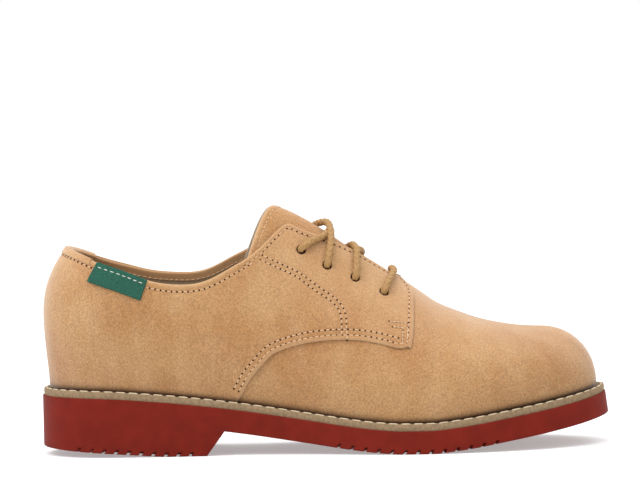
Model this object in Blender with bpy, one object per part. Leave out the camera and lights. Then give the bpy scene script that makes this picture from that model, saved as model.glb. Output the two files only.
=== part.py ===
# Buck oxford, right shoe: a plain-toe derby in suede on a rubber unit sole.
# The toe points along +X, the medial side is +Y, the lateral side is -Y and +Z is up.
# The origin is under the middle of the sole, on the plane that it stands on.

import math

import bmesh
import bpy
import numpy as np

for old in list(bpy.data.objects):
    bpy.data.objects.remove(old)

# Driving sizes of the sole, in metres
SOLE_LENGTH = 0.270
BALL_WIDTH = 0.098
HEEL_WIDTH = 0.066
FOREPART_THICKNESS = 0.0108
HEEL_LIFT = 0.0176
TOE_SPRING = 0.0140
HEEL_LENGTH = 0.078
BREAST_SLANT = 0.0085
HEEL_FLAT = 0.020
HEEL_BACK_RISE = 0.0040
HEEL_END_LENGTH = 0.034
TOE_END_LENGTH = 0.050
HEEL_END_SQUARENESS = 2.15
TOE_END_SQUARENESS = 2.45
SOLE_FLARE = 0.0012

# Where the sole's width and its flare grow, as shares of the sole's length
WIDTH_GROWS_FROM = 0.20
WIDTH_GROWS_OVER = 0.45
FLARE_GROWS_FROM = 0.35
FLARE_GROWS_OVER = 0.35

# Driving sizes of the tread grooves that open at the sole's edge
HEEL_GROOVE_PITCH = 0.0059
FORE_GROOVE_PITCH = 0.0062
GROOVE_WIDTH = 0.0016
GROOVE_HEIGHT = 0.0019
GROOVE_LENGTH = 0.0120
GROOVE_OVERCUT = 0.0030
GROOVE_LEAN_DEG = 35.0
HEEL_GROOVE_START = 0.0168
HEEL_GROOVES = 10
FORE_GROOVE_START = 0.1395
FORE_GROOVES = 13

# Driving sizes of the welt, insole and upper
WELT_THICKNESS = 0.0033
WELT_SETBACK = 0.0006
WELT_LEDGE = 0.0026
INSOLE_THICKNESS = 0.0040
INSOLE_GAP = 0.0007
WALL = 0.0018
QUARTER_STEP = 0.0013
COLLAR_BACK_HEIGHT = 0.0972
COLLAR_DIP_HEIGHT = 0.0807
MEDIAL_COLLAR_RISE = 0.0025
FLAP_TOP_HEIGHT = 0.1085
INSTEP_HEIGHT = 0.1172
TOE_BOX_HEIGHT = 0.0535
CONE_HEIGHT = 0.138
SIDE_BULGE = 0.0040
SLOT_HALF_TOP = 0.0095
SLOT_HALF_FRONT = 0.0045
THROAT_ALONG = 0.626 * SOLE_LENGTH
FLAP_START_ALONG = 0.333 * SOLE_LENGTH
GAP = 0.0003

# How the last's side bulges between the welt and the ridge, as shares of the height
BULGE_TOP_HEEL = 0.69
BULGE_TOP_FORE = 1.00
BULGE_GROWS_FROM = 0.10
BULGE_GROWS_OVER = 0.35
BULGE_LOWNESS_HEEL = 1.53
BULGE_LOWNESS_FORE = 0.85

# Where the medial collar is higher, as shares of the sole's length
COLLAR_RISE_FROM = 0.12
COLLAR_RISE_TO = 0.33
COLLAR_RISE_BLEND = 0.12

# The foot of the wall stands upright up to this share of each section, and the
# corner between the collar and the throat is softened by a share of a section
FOOT_RISE = 0.08
CORNER_SOFTNESS = 0.012
SLOT_TOP_ALONG = 0.440 * SOLE_LENGTH

# Driving sizes of the tongue, laces, strip and tab
TONGUE_THICKNESS = 0.0026
TONGUE_GAP = 0.0009
TONGUE_TIP_ALONG = 0.4205 * SOLE_LENGTH
TONGUE_FRONT_ALONG = 0.6593 * SOLE_LENGTH
TONGUE_HALF_FRONT = 0.0130
TONGUE_HALF_TOP = 0.0400
TONGUE_END_SWEEP = 0.0024
TONGUE_SPREAD = 1.1
LACE_DIAMETER = 0.0034
EYELET_DIAMETER = 0.0044
EYELET_TABLE = (
    # share of the sole's length, distance under the flap's top edge
    (0.4590, 0.0102),
    (0.5040, 0.0140),
    (0.5520, 0.0154),
    (0.6020, 0.0166),
)
EYELET_SIDES = 14
EYELET_CUT_IN = 0.0020
EYELET_CUT_OUT = 0.0060
LACE_SIDES = 8
LACE_STEPS = 22
STRIP_HALF_LENGTH = 0.0250
STRIP_HEIGHT = 0.0038
STRIP_THICKNESS = 0.0006
STRIP_GAP = 0.0005
TAB_LENGTH = 0.0245
TAB_HEIGHT = 0.0102
TAB_THICKNESS = 0.0011
TAB_BACK_ALONG = 0.1074 * SOLE_LENGTH
TAB_SKEW = 0.20

# Half widths of the sole. along is a share of the sole's length from the heel;
# lateral and medial are shares of the local width, which grows from heel to ball.
OUTLINE = (
    # along, lateral, medial
    (0.00, 0.480, 0.480),
    (0.15, 0.500, 0.497),
    (0.25, 0.507, 0.470),
    (0.35, 0.458, 0.370),
    (0.45, 0.437, 0.342),
    (0.52, 0.448, 0.362),
    (0.60, 0.480, 0.402),
    (0.68, 0.500, 0.466),
    (0.75, 0.485, 0.500),
    (0.82, 0.441, 0.488),
    (0.90, 0.375, 0.440),
    (1.00, 0.300, 0.372),
)

# Height of the sole's underside line: heel is a share of the heel lift and
# spring is a share of the toe spring.
SOLE_LINE = (
    # along, heel, spring
    (0.000, 1.000, 0.000),
    (0.040, 0.998, 0.000),
    (0.110, 0.967, 0.000),
    (0.197, 0.868, 0.000),
    (0.285, 0.722, 0.000),
    (0.370, 0.538, 0.000),
    (0.459, 0.322, 0.000),
    (0.544, 0.118, 0.000),
    (0.589, 0.038, 0.000),
    (0.630, 0.000, 0.000),
    (0.680, 0.000, 0.000),
    (0.719, 0.000, 0.065),
    (0.763, 0.000, 0.172),
    (0.804, 0.000, 0.300),
    (0.896, 0.000, 0.588),
    (0.948, 0.000, 0.775),
    (1.000, 0.000, 1.000),
)

# Cross sections of the upper. ledge is a share of the welt's ledge, square is the
# roundness power of the section, and the bulges are shares of the side bulge.
SECTIONS = (
    # along, ledge, square, lateral bulge, medial bulge
    (0.00, 1.35, 1.80, 1.55, 1.55),
    (0.12, 1.20, 2.15, 1.00, 1.00),
    (0.30, 1.00, 2.15, 0.35, 0.50),
    (0.45, 1.00, 1.68, 0.20, 0.75),
    (0.58, 1.15, 1.60, 0.20, 0.45),
    (0.70, 1.50, 1.90, 0.45, 0.45),
    (0.85, 1.45, 2.35, 0.50, 0.50),
    (1.00, 1.70, 2.12, 0.15, 0.15),
)

# The ridge line of the last. cone, instep and toe are shares of the cone, instep
# and toe box heights, and swing is the ridge's way to the medial side, as a share
# of the ball width.
RIDGE = (
    # along, cone, instep, toe, swing
    (0.000, 0.980, 0.000, 0.000, 0.000),
    (0.160, 0.9305, 0.000, 0.000, 0.000),
    (0.290, 0.320, 0.700, 0.000, -0.010),
    (0.422, 0.000, 0.998, 0.000, -0.028),
    (0.483, 0.000, 0.925, 0.000, -0.024),
    (0.556, 0.000, 0.805, 0.000, -0.014),
    (0.624, 0.000, 0.683, 0.000, 0.004),
    (0.663, 0.000, 0.622, 0.000, 0.016),
    (0.693, 0.000, 0.290, 0.618, 0.026),
    (0.729, 0.000, 0.100, 0.951, 0.032),
    (0.764, 0.000, 0.000, 1.103, 0.036),
    (0.799, 0.000, 0.000, 1.056, 0.038),
    (0.835, 0.000, 0.000, 1.024, 0.038),
    (0.880, 0.000, 0.000, 1.008, 0.038),
    (1.000, 0.000, 0.000, 1.004, 0.036),
)
RIDGE_BACK_ALONG = 0.16
RIDGE_FRONT_ALONG = 0.885

# The collar's top line from the back to the flap. dip and flap are shares of the
# way from the collar's lowest height up to its back height or to the flap's top.
TOPLINE = (
    # along, back, flap
    (0.000, 1.030, 0.000),
    (0.045, 1.000, 0.000),
    (0.100, 0.660, 0.000),
    (0.150, 0.380, 0.000),
    (0.195, 0.120, 0.000),
    (0.245, 0.000, 0.000),
    (0.290, 0.000, 0.045),
    (0.340, 0.000, 0.280),
    (0.378, 0.000, 0.500),
    (0.400, 0.000, 0.690),
    (0.425, 0.000, 0.900),
    (0.455, 0.000, 1.000),
    (0.480, 0.000, 1.020),
    (0.560, 0.000, 1.030),
)

# The quarter's edge over the vamp, from the welt to its lower front corner.
# up is a share of the way from the welt to the top edge, and back and front say
# where the mesh rows that leave it meet the back seam and the toe's centre line.
QUARTER_EDGE = (
    # along, up, back, front
    (0.345, 0.000, 0.000, 0.000),
    (0.357, 0.079, 0.100, 0.040),
    (0.370, 0.146, 0.200, 0.070),
    (0.400, 0.209, 0.300, 0.100),
    (0.436, 0.263, 0.400, 0.130),
    (0.484, 0.314, 0.500, 0.170),
    (0.546, 0.367, 0.610, 0.220),
    (0.600, 0.398, 0.700, 0.270),
    (0.649, 0.392, 0.770, 0.310),
)
QUARTER_EDGE_ROWS = 14
# The flap's front edge, from that corner up and round to the end of the slot.
FLAP_EDGE = (
    # along, up, back, front
    (0.649, 0.392, 0.770, 0.310),
    (0.6525, 0.480, 0.830, 0.450),
    (0.6535, 0.637, 0.890, 0.630),
    (0.6525, 0.788, 0.940, 0.780),
    (0.6475, 0.880, 0.965, 0.870),
    (0.637, 0.935, 0.980, 0.930),
    (0.622, 1.000, 1.000, 1.000),
)
FLAP_EDGE_ROWS = 9
QUARTER_COLUMNS = 17
VAMP_COLUMNS = 14
SLOT_END_COLUMNS = 2
TONGUE_ROWS = 12
TONGUE_COLUMNS = 10
EDGE_HEIGHT_WEIGHT = 0.30

# Each lace is a line of places. across is 0 at its eyelet, 1 and 2 at the flaps' edges
# and 3 at the eyelet it reaches. share is how far it has gone from pair to pair, height
# is above the upper's inner face in lace radii, and ahead is a small turn to the toe.
LACE_STRAIGHT = (
    # across, share, height, ahead
    (0.00, 0.00, 0.80, 0.000),
    (0.00, 0.00, 2.30, 0.000),
    (0.22, 0.00, 3.08, 0.003),
    (0.60, 0.00, 3.18, 0.009),
    (1.00, 0.00, 3.24, 0.013),
    (1.50, 0.00, 2.70, 0.014),
    (2.00, 0.00, 3.24, 0.013),
    (2.40, 0.00, 3.18, 0.009),
    (2.78, 0.00, 3.08, 0.003),
    (3.00, 0.00, 2.30, 0.000),
    (3.00, 0.00, 0.80, 0.000),
)
LACE_OVER = (
    # across, share, height, ahead
    (0.00, 0.00, 0.80, 0.000),
    (0.00, 0.00, 2.30, 0.000),
    (0.22, 0.00, 3.08, 0.000),
    (0.60, 0.01, 3.30, 0.000),
    (0.95, 0.05, 4.10, 0.000),
    (1.22, 0.14, 3.95, 0.000),
    (1.50, 0.36, 3.00, 0.000),
    (1.78, 0.62, 2.90, 0.000),
    (2.02, 0.80, 3.26, 0.000),
    (2.45, 0.94, 3.20, 0.000),
    (2.78, 1.00, 3.08, 0.000),
    (3.00, 1.00, 2.30, 0.000),
    (3.00, 1.00, 0.80, 0.000),
)
LACE_UNDER = (
    # across, share, height, ahead
    (0.00, 0.00, 0.80, 0.000),
    (0.00, 0.00, 2.30, 0.000),
    (0.22, 0.00, 3.08, 0.000),
    (0.60, 0.00, 3.20, 0.000),
    (0.98, 0.02, 3.26, 0.000),
    (1.25, 0.04, 2.45, 0.000),
    (1.50, 0.05, 1.90, 0.000),
    (1.75, 0.10, 2.40, 0.000),
    (2.02, 0.18, 3.20, 0.000),
    (2.40, 0.46, 3.20, 0.000),
    (2.78, 0.84, 3.08, 0.000),
    (3.00, 1.00, 2.30, 0.000),
    (3.00, 1.00, 0.80, 0.000),
)
LACE_LOW_OVER = (
    # across, share, height, ahead
    (0.00, 0.00, 0.80, 0.000),
    (0.00, 0.00, 2.30, 0.000),
    (0.22, 0.00, 3.08, 0.000),
    (0.60, 0.06, 3.20, 0.000),
    (0.98, 0.15, 3.26, 0.000),
    (1.25, 0.30, 2.70, 0.000),
    (1.50, 0.50, 2.10, 0.000),
    (1.66, 0.62, 1.60, 0.000),
)
LACE_LOW_UNDER = (
    # across, share, height, ahead
    (0.00, 0.00, 0.80, 0.000),
    (0.00, 0.00, 2.30, 0.000),
    (0.22, 0.00, 3.08, 0.000),
    (0.60, 0.06, 3.20, 0.000),
    (0.98, 0.15, 3.26, 0.000),
    (1.25, 0.30, 2.20, 0.000),
    (1.50, 0.50, 1.20, 0.000),
    (1.66, 0.62, 1.00, 0.000),
)

LATERAL = -1
MEDIAL = 1

COLOURS = {
    "suede": (0.560, 0.305, 0.140, 1.0),
    "lining": (0.480, 0.375, 0.270, 1.0),
    "welt": (0.320, 0.215, 0.130, 1.0),
    "rubber": (0.220, 0.030, 0.022, 1.0),
    "lace": (0.480, 0.285, 0.110, 1.0),
    "tab": (0.020, 0.170, 0.090, 1.0),
}


def ease(share):
    """A soft step from 0 to 1."""
    share = np.clip(share, 0.0, 1.0)
    return share * share * (3.0 - 2.0 * share)


def column(table, index):
    """One column of a table, as an array."""
    return np.array([row[index] for row in table])


def steady_line(knots, values):
    """A smooth line through the knots that never overshoots them."""
    knots = np.asarray(knots, float)
    values = np.asarray(values, float)
    steps = np.diff(knots)
    rises = np.diff(values) / steps
    slopes = np.zeros_like(values)
    slopes[0] = rises[0]
    slopes[-1] = rises[-1]
    for i in range(1, len(values) - 1):
        if rises[i - 1] * rises[i] > 0.0:
            first = 2.0 * steps[i] + steps[i - 1]
            second = steps[i] + 2.0 * steps[i - 1]
            slopes[i] = (first + second) / (first / rises[i - 1] + second / rises[i])

    def line(at):
        at = np.asarray(at, float)
        i = np.clip(np.searchsorted(knots, at, side="right") - 1, 0, len(steps) - 1)
        t = np.clip((at - knots[i]) / steps[i], 0.0, 1.0)
        inside = (values[i] * (1 + 2 * t) * (1 - t) ** 2
                  + slopes[i] * steps[i] * t * (1 - t) ** 2
                  + values[i + 1] * t * t * (3 - 2 * t)
                  + slopes[i + 1] * steps[i] * t * t * (t - 1))
        before = np.minimum(at - knots[0], 0.0) * slopes[0]
        after = np.maximum(at - knots[-1], 0.0) * slopes[-1]
        return inside + before + after

    return line


def spring_line(knots, values):
    """A natural cubic spline through the knots, straight beyond them."""
    knots = np.asarray(knots, float)
    values = np.asarray(values, float)
    steps = np.diff(knots)
    count = len(knots)
    matrix = np.eye(count)
    right = np.zeros(count)
    for i in range(1, count - 1):
        matrix[i, i - 1:i + 2] = (steps[i - 1], 2 * (steps[i - 1] + steps[i]), steps[i])
        right[i] = 6 * ((values[i + 1] - values[i]) / steps[i]
                        - (values[i] - values[i - 1]) / steps[i - 1])
    bends = np.linalg.solve(matrix, right)
    first_slope = (values[1] - values[0]) / steps[0] - steps[0] * bends[1] / 6
    last_slope = (values[-1] - values[-2]) / steps[-1] + steps[-1] * bends[-2] / 6

    def line(at):
        at = np.asarray(at, float)
        held = np.clip(at, knots[0], knots[-1])
        i = np.clip(np.searchsorted(knots, held, side="right") - 1, 0, count - 2)
        h = steps[i]
        a = (knots[i + 1] - held) / h
        b = (held - knots[i]) / h
        inside = (a * values[i] + b * values[i + 1]
                  + ((a ** 3 - a) * bends[i] + (b ** 3 - b) * bends[i + 1]) * h * h / 6)
        before = np.minimum(at - knots[0], 0.0) * first_slope
        after = np.maximum(at - knots[-1], 0.0) * last_slope
        return inside + before + after

    return line


# The sole's plan


def local_width(along):
    """The width that the outline's shares belong to, from heel to ball."""
    return HEEL_WIDTH + (BALL_WIDTH - HEEL_WIDTH) * ease((along - WIDTH_GROWS_FROM) / WIDTH_GROWS_OVER)


lateral_share = spring_line(column(OUTLINE, 0), column(OUTLINE, 1))
medial_share = spring_line(column(OUTLINE, 0), column(OUTLINE, 2))


def end_round(along):
    """Rounds the heel and the toe: 1 in the middle and 0 at both tips."""
    heel = np.clip(1.0 - along * SOLE_LENGTH / HEEL_END_LENGTH, 0.0, 1.0)
    toe = np.clip(1.0 - (1.0 - along) * SOLE_LENGTH / TOE_END_LENGTH, 0.0, 1.0)
    at_heel = (1.0 - heel ** HEEL_END_SQUARENESS) ** (1.0 / HEEL_END_SQUARENESS)
    at_toe = (1.0 - toe ** TOE_END_SQUARENESS) ** (1.0 / TOE_END_SQUARENESS)
    return at_heel * at_toe


def along_of(turn):
    """Share of the length for a turn of 0 at the heel's tip and 1 at the toe's."""
    return (1.0 - np.cos(math.pi * np.asarray(turn, float))) / 2.0


def bare_edge(side, turn):
    """The sole's edge in plan, before it is centred across."""
    along = along_of(turn)
    width = local_width(along)
    lateral = width * lateral_share(along)
    medial = width * medial_share(along)
    reach = end_round(along) * np.sign(np.sin(math.pi * np.asarray(turn, float)))
    across = (medial - lateral) / 2.0 + side * reach * (medial + lateral) / 2.0
    return np.stack([SOLE_LENGTH * (along - 0.5), across], axis=-1)


FULL_TURN = np.linspace(0.0, 1.0, 801)
CENTRE_SHIFT = -(bare_edge(MEDIAL, FULL_TURN)[:, 1].max()
                 + bare_edge(LATERAL, FULL_TURN)[:, 1].min()) / 2.0


def sole_edge(side, turn, inset=0.0):
    """The sole's edge in plan, moved inwards by an inset."""
    turn = np.asarray(turn, float)
    point = bare_edge(side, turn)
    tangent = bare_edge(side, turn + 1e-3) - bare_edge(side, turn - 1e-3)
    tangent /= np.linalg.norm(tangent, axis=-1, keepdims=True)
    inward = side * np.stack([tangent[..., 1], -tangent[..., 0]], axis=-1)
    point = point + inward * np.asarray(inset)[..., None]
    return point + np.array([0.0, CENTRE_SHIFT]), inward


# The sole's heights

heel_share = steady_line(column(SOLE_LINE, 0), column(SOLE_LINE, 1))
toe_share = steady_line(column(SOLE_LINE, 0), column(SOLE_LINE, 2))


def share_at(x):
    """Share of the sole's length for a place along X."""
    return np.asarray(x, float) / SOLE_LENGTH + 0.5


def forepart_underside(x):
    """Underside of the sole in front of the heel, with its flat spot and toe spring."""
    along = share_at(x)
    return HEEL_LIFT * heel_share(along) + TOE_SPRING * toe_share(along)


def sole_top(x):
    """Upper face of the rubber."""
    return forepart_underside(x) + FOREPART_THICKNESS


def heel_underside(x):
    """Underside of the heel: flat behind the breast, then rising to the back."""
    back = -SOLE_LENGTH / 2.0
    flat_end = back + HEEL_LENGTH - HEEL_FLAT
    return HEEL_BACK_RISE * np.clip((flat_end - x) / (flat_end - back), 0.0, 1.0)


def welt_top(x):
    """Upper face of the welt."""
    return sole_top(x) + WELT_THICKNESS


# The upper's own surface

ledge_share = steady_line(column(SECTIONS, 0), column(SECTIONS, 1))
squareness = steady_line(column(SECTIONS, 0), column(SECTIONS, 2))
lateral_bulge = steady_line(column(SECTIONS, 0), column(SECTIONS, 3))
medial_bulge = steady_line(column(SECTIONS, 0), column(SECTIONS, 4))
ridge_height = spring_line(
    column(RIDGE, 0),
    column(RIDGE, 1) * CONE_HEIGHT + column(RIDGE, 2) * INSTEP_HEIGHT
    + column(RIDGE, 3) * TOE_BOX_HEIGHT)
ridge_swing = spring_line(column(RIDGE, 0), column(RIDGE, 4))


def topline_height(side, x):
    """Height of the collar's edge, a little higher on the medial side."""
    dip = COLLAR_DIP_HEIGHT
    back = column(TOPLINE, 1) * (COLLAR_BACK_HEIGHT - dip)
    flap = column(TOPLINE, 2) * (FLAP_TOP_HEIGHT - dip)
    line = spring_line(column(TOPLINE, 0), dip + back + flap)
    along = share_at(x)
    rise = MEDIAL_COLLAR_RISE if side == MEDIAL else 0.0
    starts = ease((along - COLLAR_RISE_FROM) / COLLAR_RISE_BLEND)
    ends = ease((along - COLLAR_RISE_TO) / COLLAR_RISE_BLEND)
    return line(along) + rise * starts * (1.0 - ends)


def feather(side, turn):
    """The inner face's foot line on the welt, with its inward direction."""
    along = along_of(turn)
    inset = WELT_LEDGE * ledge_share(along) + WALL + QUARTER_STEP
    return sole_edge(side, turn, inset)


def ridge_point(along):
    """Plan place on the ridge where the section from this share ends."""
    ridge_along = RIDGE_BACK_ALONG + (RIDGE_FRONT_ALONG - RIDGE_BACK_ALONG) * along
    x = SOLE_LENGTH * (ridge_along - 0.5)
    return np.stack([x, BALL_WIDTH * ridge_swing(ridge_along)], axis=-1)


def last_point(side, turn, rise):
    """A point of the inner face: turn runs heel to toe and rise runs welt to ridge."""
    turn = np.asarray(turn, float)
    rise = np.asarray(rise, float)
    turn, rise = np.broadcast_arrays(turn, rise)
    along = along_of(turn)
    foot, inward = feather(side, turn)
    top = ridge_point(along)
    power = squareness(along)
    angle = rise * math.pi / 2.0
    cosine, sine = np.cos(angle), np.sin(angle)
    size = (np.abs(cosine) ** power + np.abs(sine) ** power) ** (1.0 / power)
    inwards, upwards = 1.0 - cosine / size, sine / size
    plan = foot + (top - foot) * inwards[..., None]
    foot_height = welt_top(foot[..., 0]) + GAP
    height = foot_height + (ridge_height(share_at(plan[..., 0])) - foot_height) * upwards
    bulge = SIDE_BULGE * (lateral_bulge(along) if side == LATERAL else medial_bulge(along))
    grown = ease((along - BULGE_GROWS_FROM) / BULGE_GROWS_OVER)
    full = BULGE_TOP_HEEL + (BULGE_TOP_FORE - BULGE_TOP_HEEL) * grown
    lowness = BULGE_LOWNESS_HEEL + (BULGE_LOWNESS_FORE - BULGE_LOWNESS_HEEL) * grown
    swell = np.sin(math.pi * np.clip(upwards / full, 0.0, 1.0) ** lowness)
    plan = plan - inward * (bulge * swell)[..., None]
    return np.concatenate([plan, height[..., None]], axis=-1)


def skin(side, turn, rise, offset):
    """A point at a distance outside the inner face, measured square to it."""
    turn = np.asarray(turn, float)
    rise = np.asarray(rise, float)
    turn, rise, offset = np.broadcast_arrays(turn, rise, np.asarray(offset, float))
    small = 1e-4
    point = last_point(side, turn, rise)
    ahead = last_point(side, turn + small, rise) - last_point(side, turn - small, rise)
    above = last_point(side, turn, rise + small) - last_point(side, turn, rise - small)
    normal = np.cross(ahead, above) * -side
    along_x = share_at(point[..., 0])
    step = 1e-3
    rise_ahead = ridge_height(along_x + step) - ridge_height(along_x - step)
    slope = rise_ahead / (2 * step * SOLE_LENGTH)
    upright = np.stack([-slope, np.zeros_like(slope), np.ones_like(slope)], axis=-1)
    at_ridge = (rise > 1.0 - 1e-6)[..., None]
    normal = np.where(at_ridge, upright, normal)
    normal /= np.maximum(np.linalg.norm(normal, axis=-1, keepdims=True), 1e-12)
    normal[..., 2] *= ease(rise / FOOT_RISE)
    normal /= np.maximum(np.linalg.norm(normal, axis=-1, keepdims=True), 1e-12)
    moved = point + normal * offset[..., None]
    on_welt = welt_top(moved[..., 0]) - welt_top(point[..., 0])
    moved[..., 2] += on_welt * (1.0 - ease(rise / FOOT_RISE))
    return moved


def slot_half(x):
    """Half the gap between the flaps, closing in a round end at the throat."""
    throat = THROAT_ALONG - SOLE_LENGTH / 2.0
    top = SLOT_TOP_ALONG - SOLE_LENGTH / 2.0
    spread = ease((throat - x) / (throat - top))
    half = SLOT_HALF_FRONT + (SLOT_HALF_TOP - SLOT_HALF_FRONT) * spread
    into_end = np.clip((x - (throat - SLOT_HALF_FRONT)) / SLOT_HALF_FRONT, 0.0, 1.0)
    return half * np.sqrt(1.0 - into_end ** 2)


TRIM_SAMPLES = np.linspace(0.0, 1.0, 241)


def first_crossing(values):
    """For each row, the first sample place where the values rise above zero."""
    above = values > 0.0
    index = np.where(above.any(axis=1), above.argmax(axis=1), values.shape[1] - 1)
    index = np.maximum(index, 1)
    rows = np.arange(values.shape[0])
    low, high = values[rows, index - 1], values[rows, index]
    share = np.where(high > low, -low / np.maximum(high - low, 1e-12), 1.0)
    share = np.clip(share, 0.0, 1.0)
    step = TRIM_SAMPLES[1] - TRIM_SAMPLES[0]
    return np.where(above.any(axis=1), TRIM_SAMPLES[index - 1] + share * step, 1.0)


def top_rise(side, turn):
    """How far up each section the upper goes: to the collar, or to the flap's slot."""
    turn = np.atleast_1d(np.asarray(turn, float))
    points = last_point(side, turn[:, None], TRIM_SAMPLES[None, :])
    over_collar = points[..., 2] - topline_height(side, points[..., 0])
    collar = first_crossing(over_collar)
    ridge = BALL_WIDTH * ridge_swing(share_at(points[..., 0]))
    in_slot = slot_half(points[..., 0]) - np.abs(points[..., 1] - ridge)
    slot = first_crossing(in_slot)
    throat = THROAT_ALONG / SOLE_LENGTH
    closed = ridge_along(turn) >= throat - 1e-9
    behind = ridge_along(turn) < FLAP_START_ALONG / SOLE_LENGTH
    slot = np.where(closed | behind, 1.0, slot)
    soft = CORNER_SOFTNESS
    meet = -soft * np.log(np.exp(-collar / soft) + np.exp(-slot / soft))
    both = np.where(np.abs(collar - slot) < 12 * soft, meet, np.minimum(collar, slot))
    return np.where(collar >= 1.0, slot, both)


def ridge_along(turn):
    """Share of the length where the section at this turn meets the ridge."""
    return RIDGE_BACK_ALONG + (RIDGE_FRONT_ALONG - RIDGE_BACK_ALONG) * along_of(turn)


def throat_turn():
    """The turn whose section meets the ridge at the throat."""
    along = THROAT_ALONG / SOLE_LENGTH
    share = (along - RIDGE_BACK_ALONG) / (RIDGE_FRONT_ALONG - RIDGE_BACK_ALONG)
    return math.acos(1.0 - 2.0 * share) / math.pi


TURN_SAMPLES = np.sort(np.append(np.linspace(0.0, 1.0, 241), throat_turn()))
TOP_LINES = {side: top_rise(side, TURN_SAMPLES) for side in (LATERAL, MEDIAL)}


def top_of(side, turn):
    """The upper's top rise at any turn, read from the sampled line."""
    return np.interp(turn, TURN_SAMPLES, TOP_LINES[side])


def turn_at(side, along, up):
    """The turn whose section passes a place along the shoe at a share of its height."""
    x = SOLE_LENGTH * (along - 0.5)
    line = last_point(side, TURN_SAMPLES, TOP_LINES[side] * up)
    return np.interp(x, line[:, 0], TURN_SAMPLES)


# Meshes


def make_material(name, colour, roughness):
    """A plain Principled material."""
    material = bpy.data.materials.new(name)
    material.use_nodes = True
    shader = material.node_tree.nodes["Principled BSDF"]
    shader.inputs["Base Color"].default_value = colour
    shader.inputs["Roughness"].default_value = roughness
    shader.inputs["Metallic"].default_value = 0.0
    material.diffuse_color = colour
    return material


def make_object(name, vertices, faces, material, sharp_deg=35.0):
    """One closed solid from vertices and faces, merged, turned outwards and smoothed."""
    mesh = bpy.data.meshes.new(name)
    mesh.from_pydata([tuple(v) for v in np.asarray(vertices)], [], [tuple(f) for f in faces])
    work = bmesh.new()
    work.from_mesh(mesh)
    bmesh.ops.remove_doubles(work, verts=work.verts, dist=2e-6)
    bmesh.ops.triangulate(work, faces=[f for f in work.faces if len(f.verts) > 3])
    bmesh.ops.recalc_face_normals(work, faces=work.faces)
    work.to_mesh(mesh)
    work.free()
    mesh.materials.append(material)
    mesh.shade_smooth()
    mesh.set_sharp_from_angle(angle=math.radians(sharp_deg))
    thing = bpy.data.objects.new(name, mesh)
    bpy.context.collection.objects.link(thing)
    return thing


class Solid:
    """Gathers grids of points and the faces between them."""

    def __init__(self):
        self.vertices = []
        self.faces = []

    def grid(self, points, flip=False):
        """Adds a grid of points with a face in each cell."""
        rows, columns = points.shape[:2]
        start = len(self.vertices)
        self.vertices.extend(points.reshape(-1, 3))
        for i in range(rows - 1):
            for j in range(columns - 1):
                a = start + i * columns + j
                cell = [a, a + 1, a + columns + 1, a + columns]
                self.faces.append(cell[::-1] if flip else cell)

    def strip(self, first, second):
        """Adds a strip of faces between two rows of points."""
        self.grid(np.stack([first, second]))


def cut(target, cutter):
    """Cuts one object out of another and applies the cut."""
    modifier = target.modifiers.new("cut", "BOOLEAN")
    modifier.operation = "DIFFERENCE"
    modifier.solver = "EXACT"
    modifier.object = cutter
    apply_modifiers(target)
    bpy.data.objects.remove(cutter)


def join_solid(target, other):
    """Joins another solid to the target as one body."""
    modifier = target.modifiers.new("join", "BOOLEAN")
    modifier.operation = "UNION"
    modifier.solver = "EXACT"
    modifier.object = other
    apply_modifiers(target)
    bpy.data.objects.remove(other)


def apply_modifiers(target):
    """Replaces the object's mesh by its evaluated one."""
    graph = bpy.context.evaluated_depsgraph_get()
    mesh = bpy.data.meshes.new_from_object(target.evaluated_get(graph))
    target.modifiers.clear()
    target.data = mesh


# Sole, welt and insole


def station_turns():
    """Turns of the sole's cross stations, with the breast and flat spots among them."""
    breast = HEEL_LENGTH / SOLE_LENGTH
    places = [
        0.0,
        (HEEL_LENGTH - HEEL_FLAT) / SOLE_LENGTH,
        breast,
        breast + BREAST_SLANT / SOLE_LENGTH,
        SOLE_LINE[9][0],
        SOLE_LINE[10][0],
        1.0,
    ]
    counts = (12, 3, 1, 12, 2, 18)
    knots = [math.acos(1.0 - 2.0 * place) / math.pi for place in places]
    turns = [0.0]
    for start, end, count in zip(knots[:-1], knots[1:], counts):
        turns.extend(np.linspace(start, end, count + 1)[1:])
    return np.array(turns)


def plate(name, turns, low_inset, high_inset, low, high, material, across=5):
    """A solid between two heights along the shoe, inside the sole's outline."""
    edges = {}
    for level, inset in (("low", low_inset), ("high", high_inset)):
        for side in (LATERAL, MEDIAL):
            edges[level, side] = sole_edge(side, turns, inset(side, along_of(turns)))[0]
    share = np.linspace(0.0, 1.0, across + 1)[None, :, None]
    solid = Solid()
    rims = {}
    for level, height in (("low", low), ("high", high)):
        plan = (edges[level, LATERAL][:, None] * (1 - share)
                + edges[level, MEDIAL][:, None] * share)
        points = np.concatenate([plan, height(plan[..., 0])[..., None]], axis=-1)
        solid.grid(points)
        rims[level] = points
    for edge in (0, across):
        solid.strip(rims["low"][:, edge], rims["high"][:, edge])
    return make_object(name, solid.vertices, solid.faces, material)


def underside(x):
    """The whole underside, with the step at the heel's breast."""
    breast = HEEL_LENGTH - SOLE_LENGTH / 2.0
    front = breast + BREAST_SLANT
    share = np.clip((x - breast) / (front - breast), 0.0, 1.0)
    heel = heel_underside(x)
    return np.where(x < front - 1e-7, heel * (1 - share) + forepart_underside(front) * share,
                    forepart_underside(x))


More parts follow.
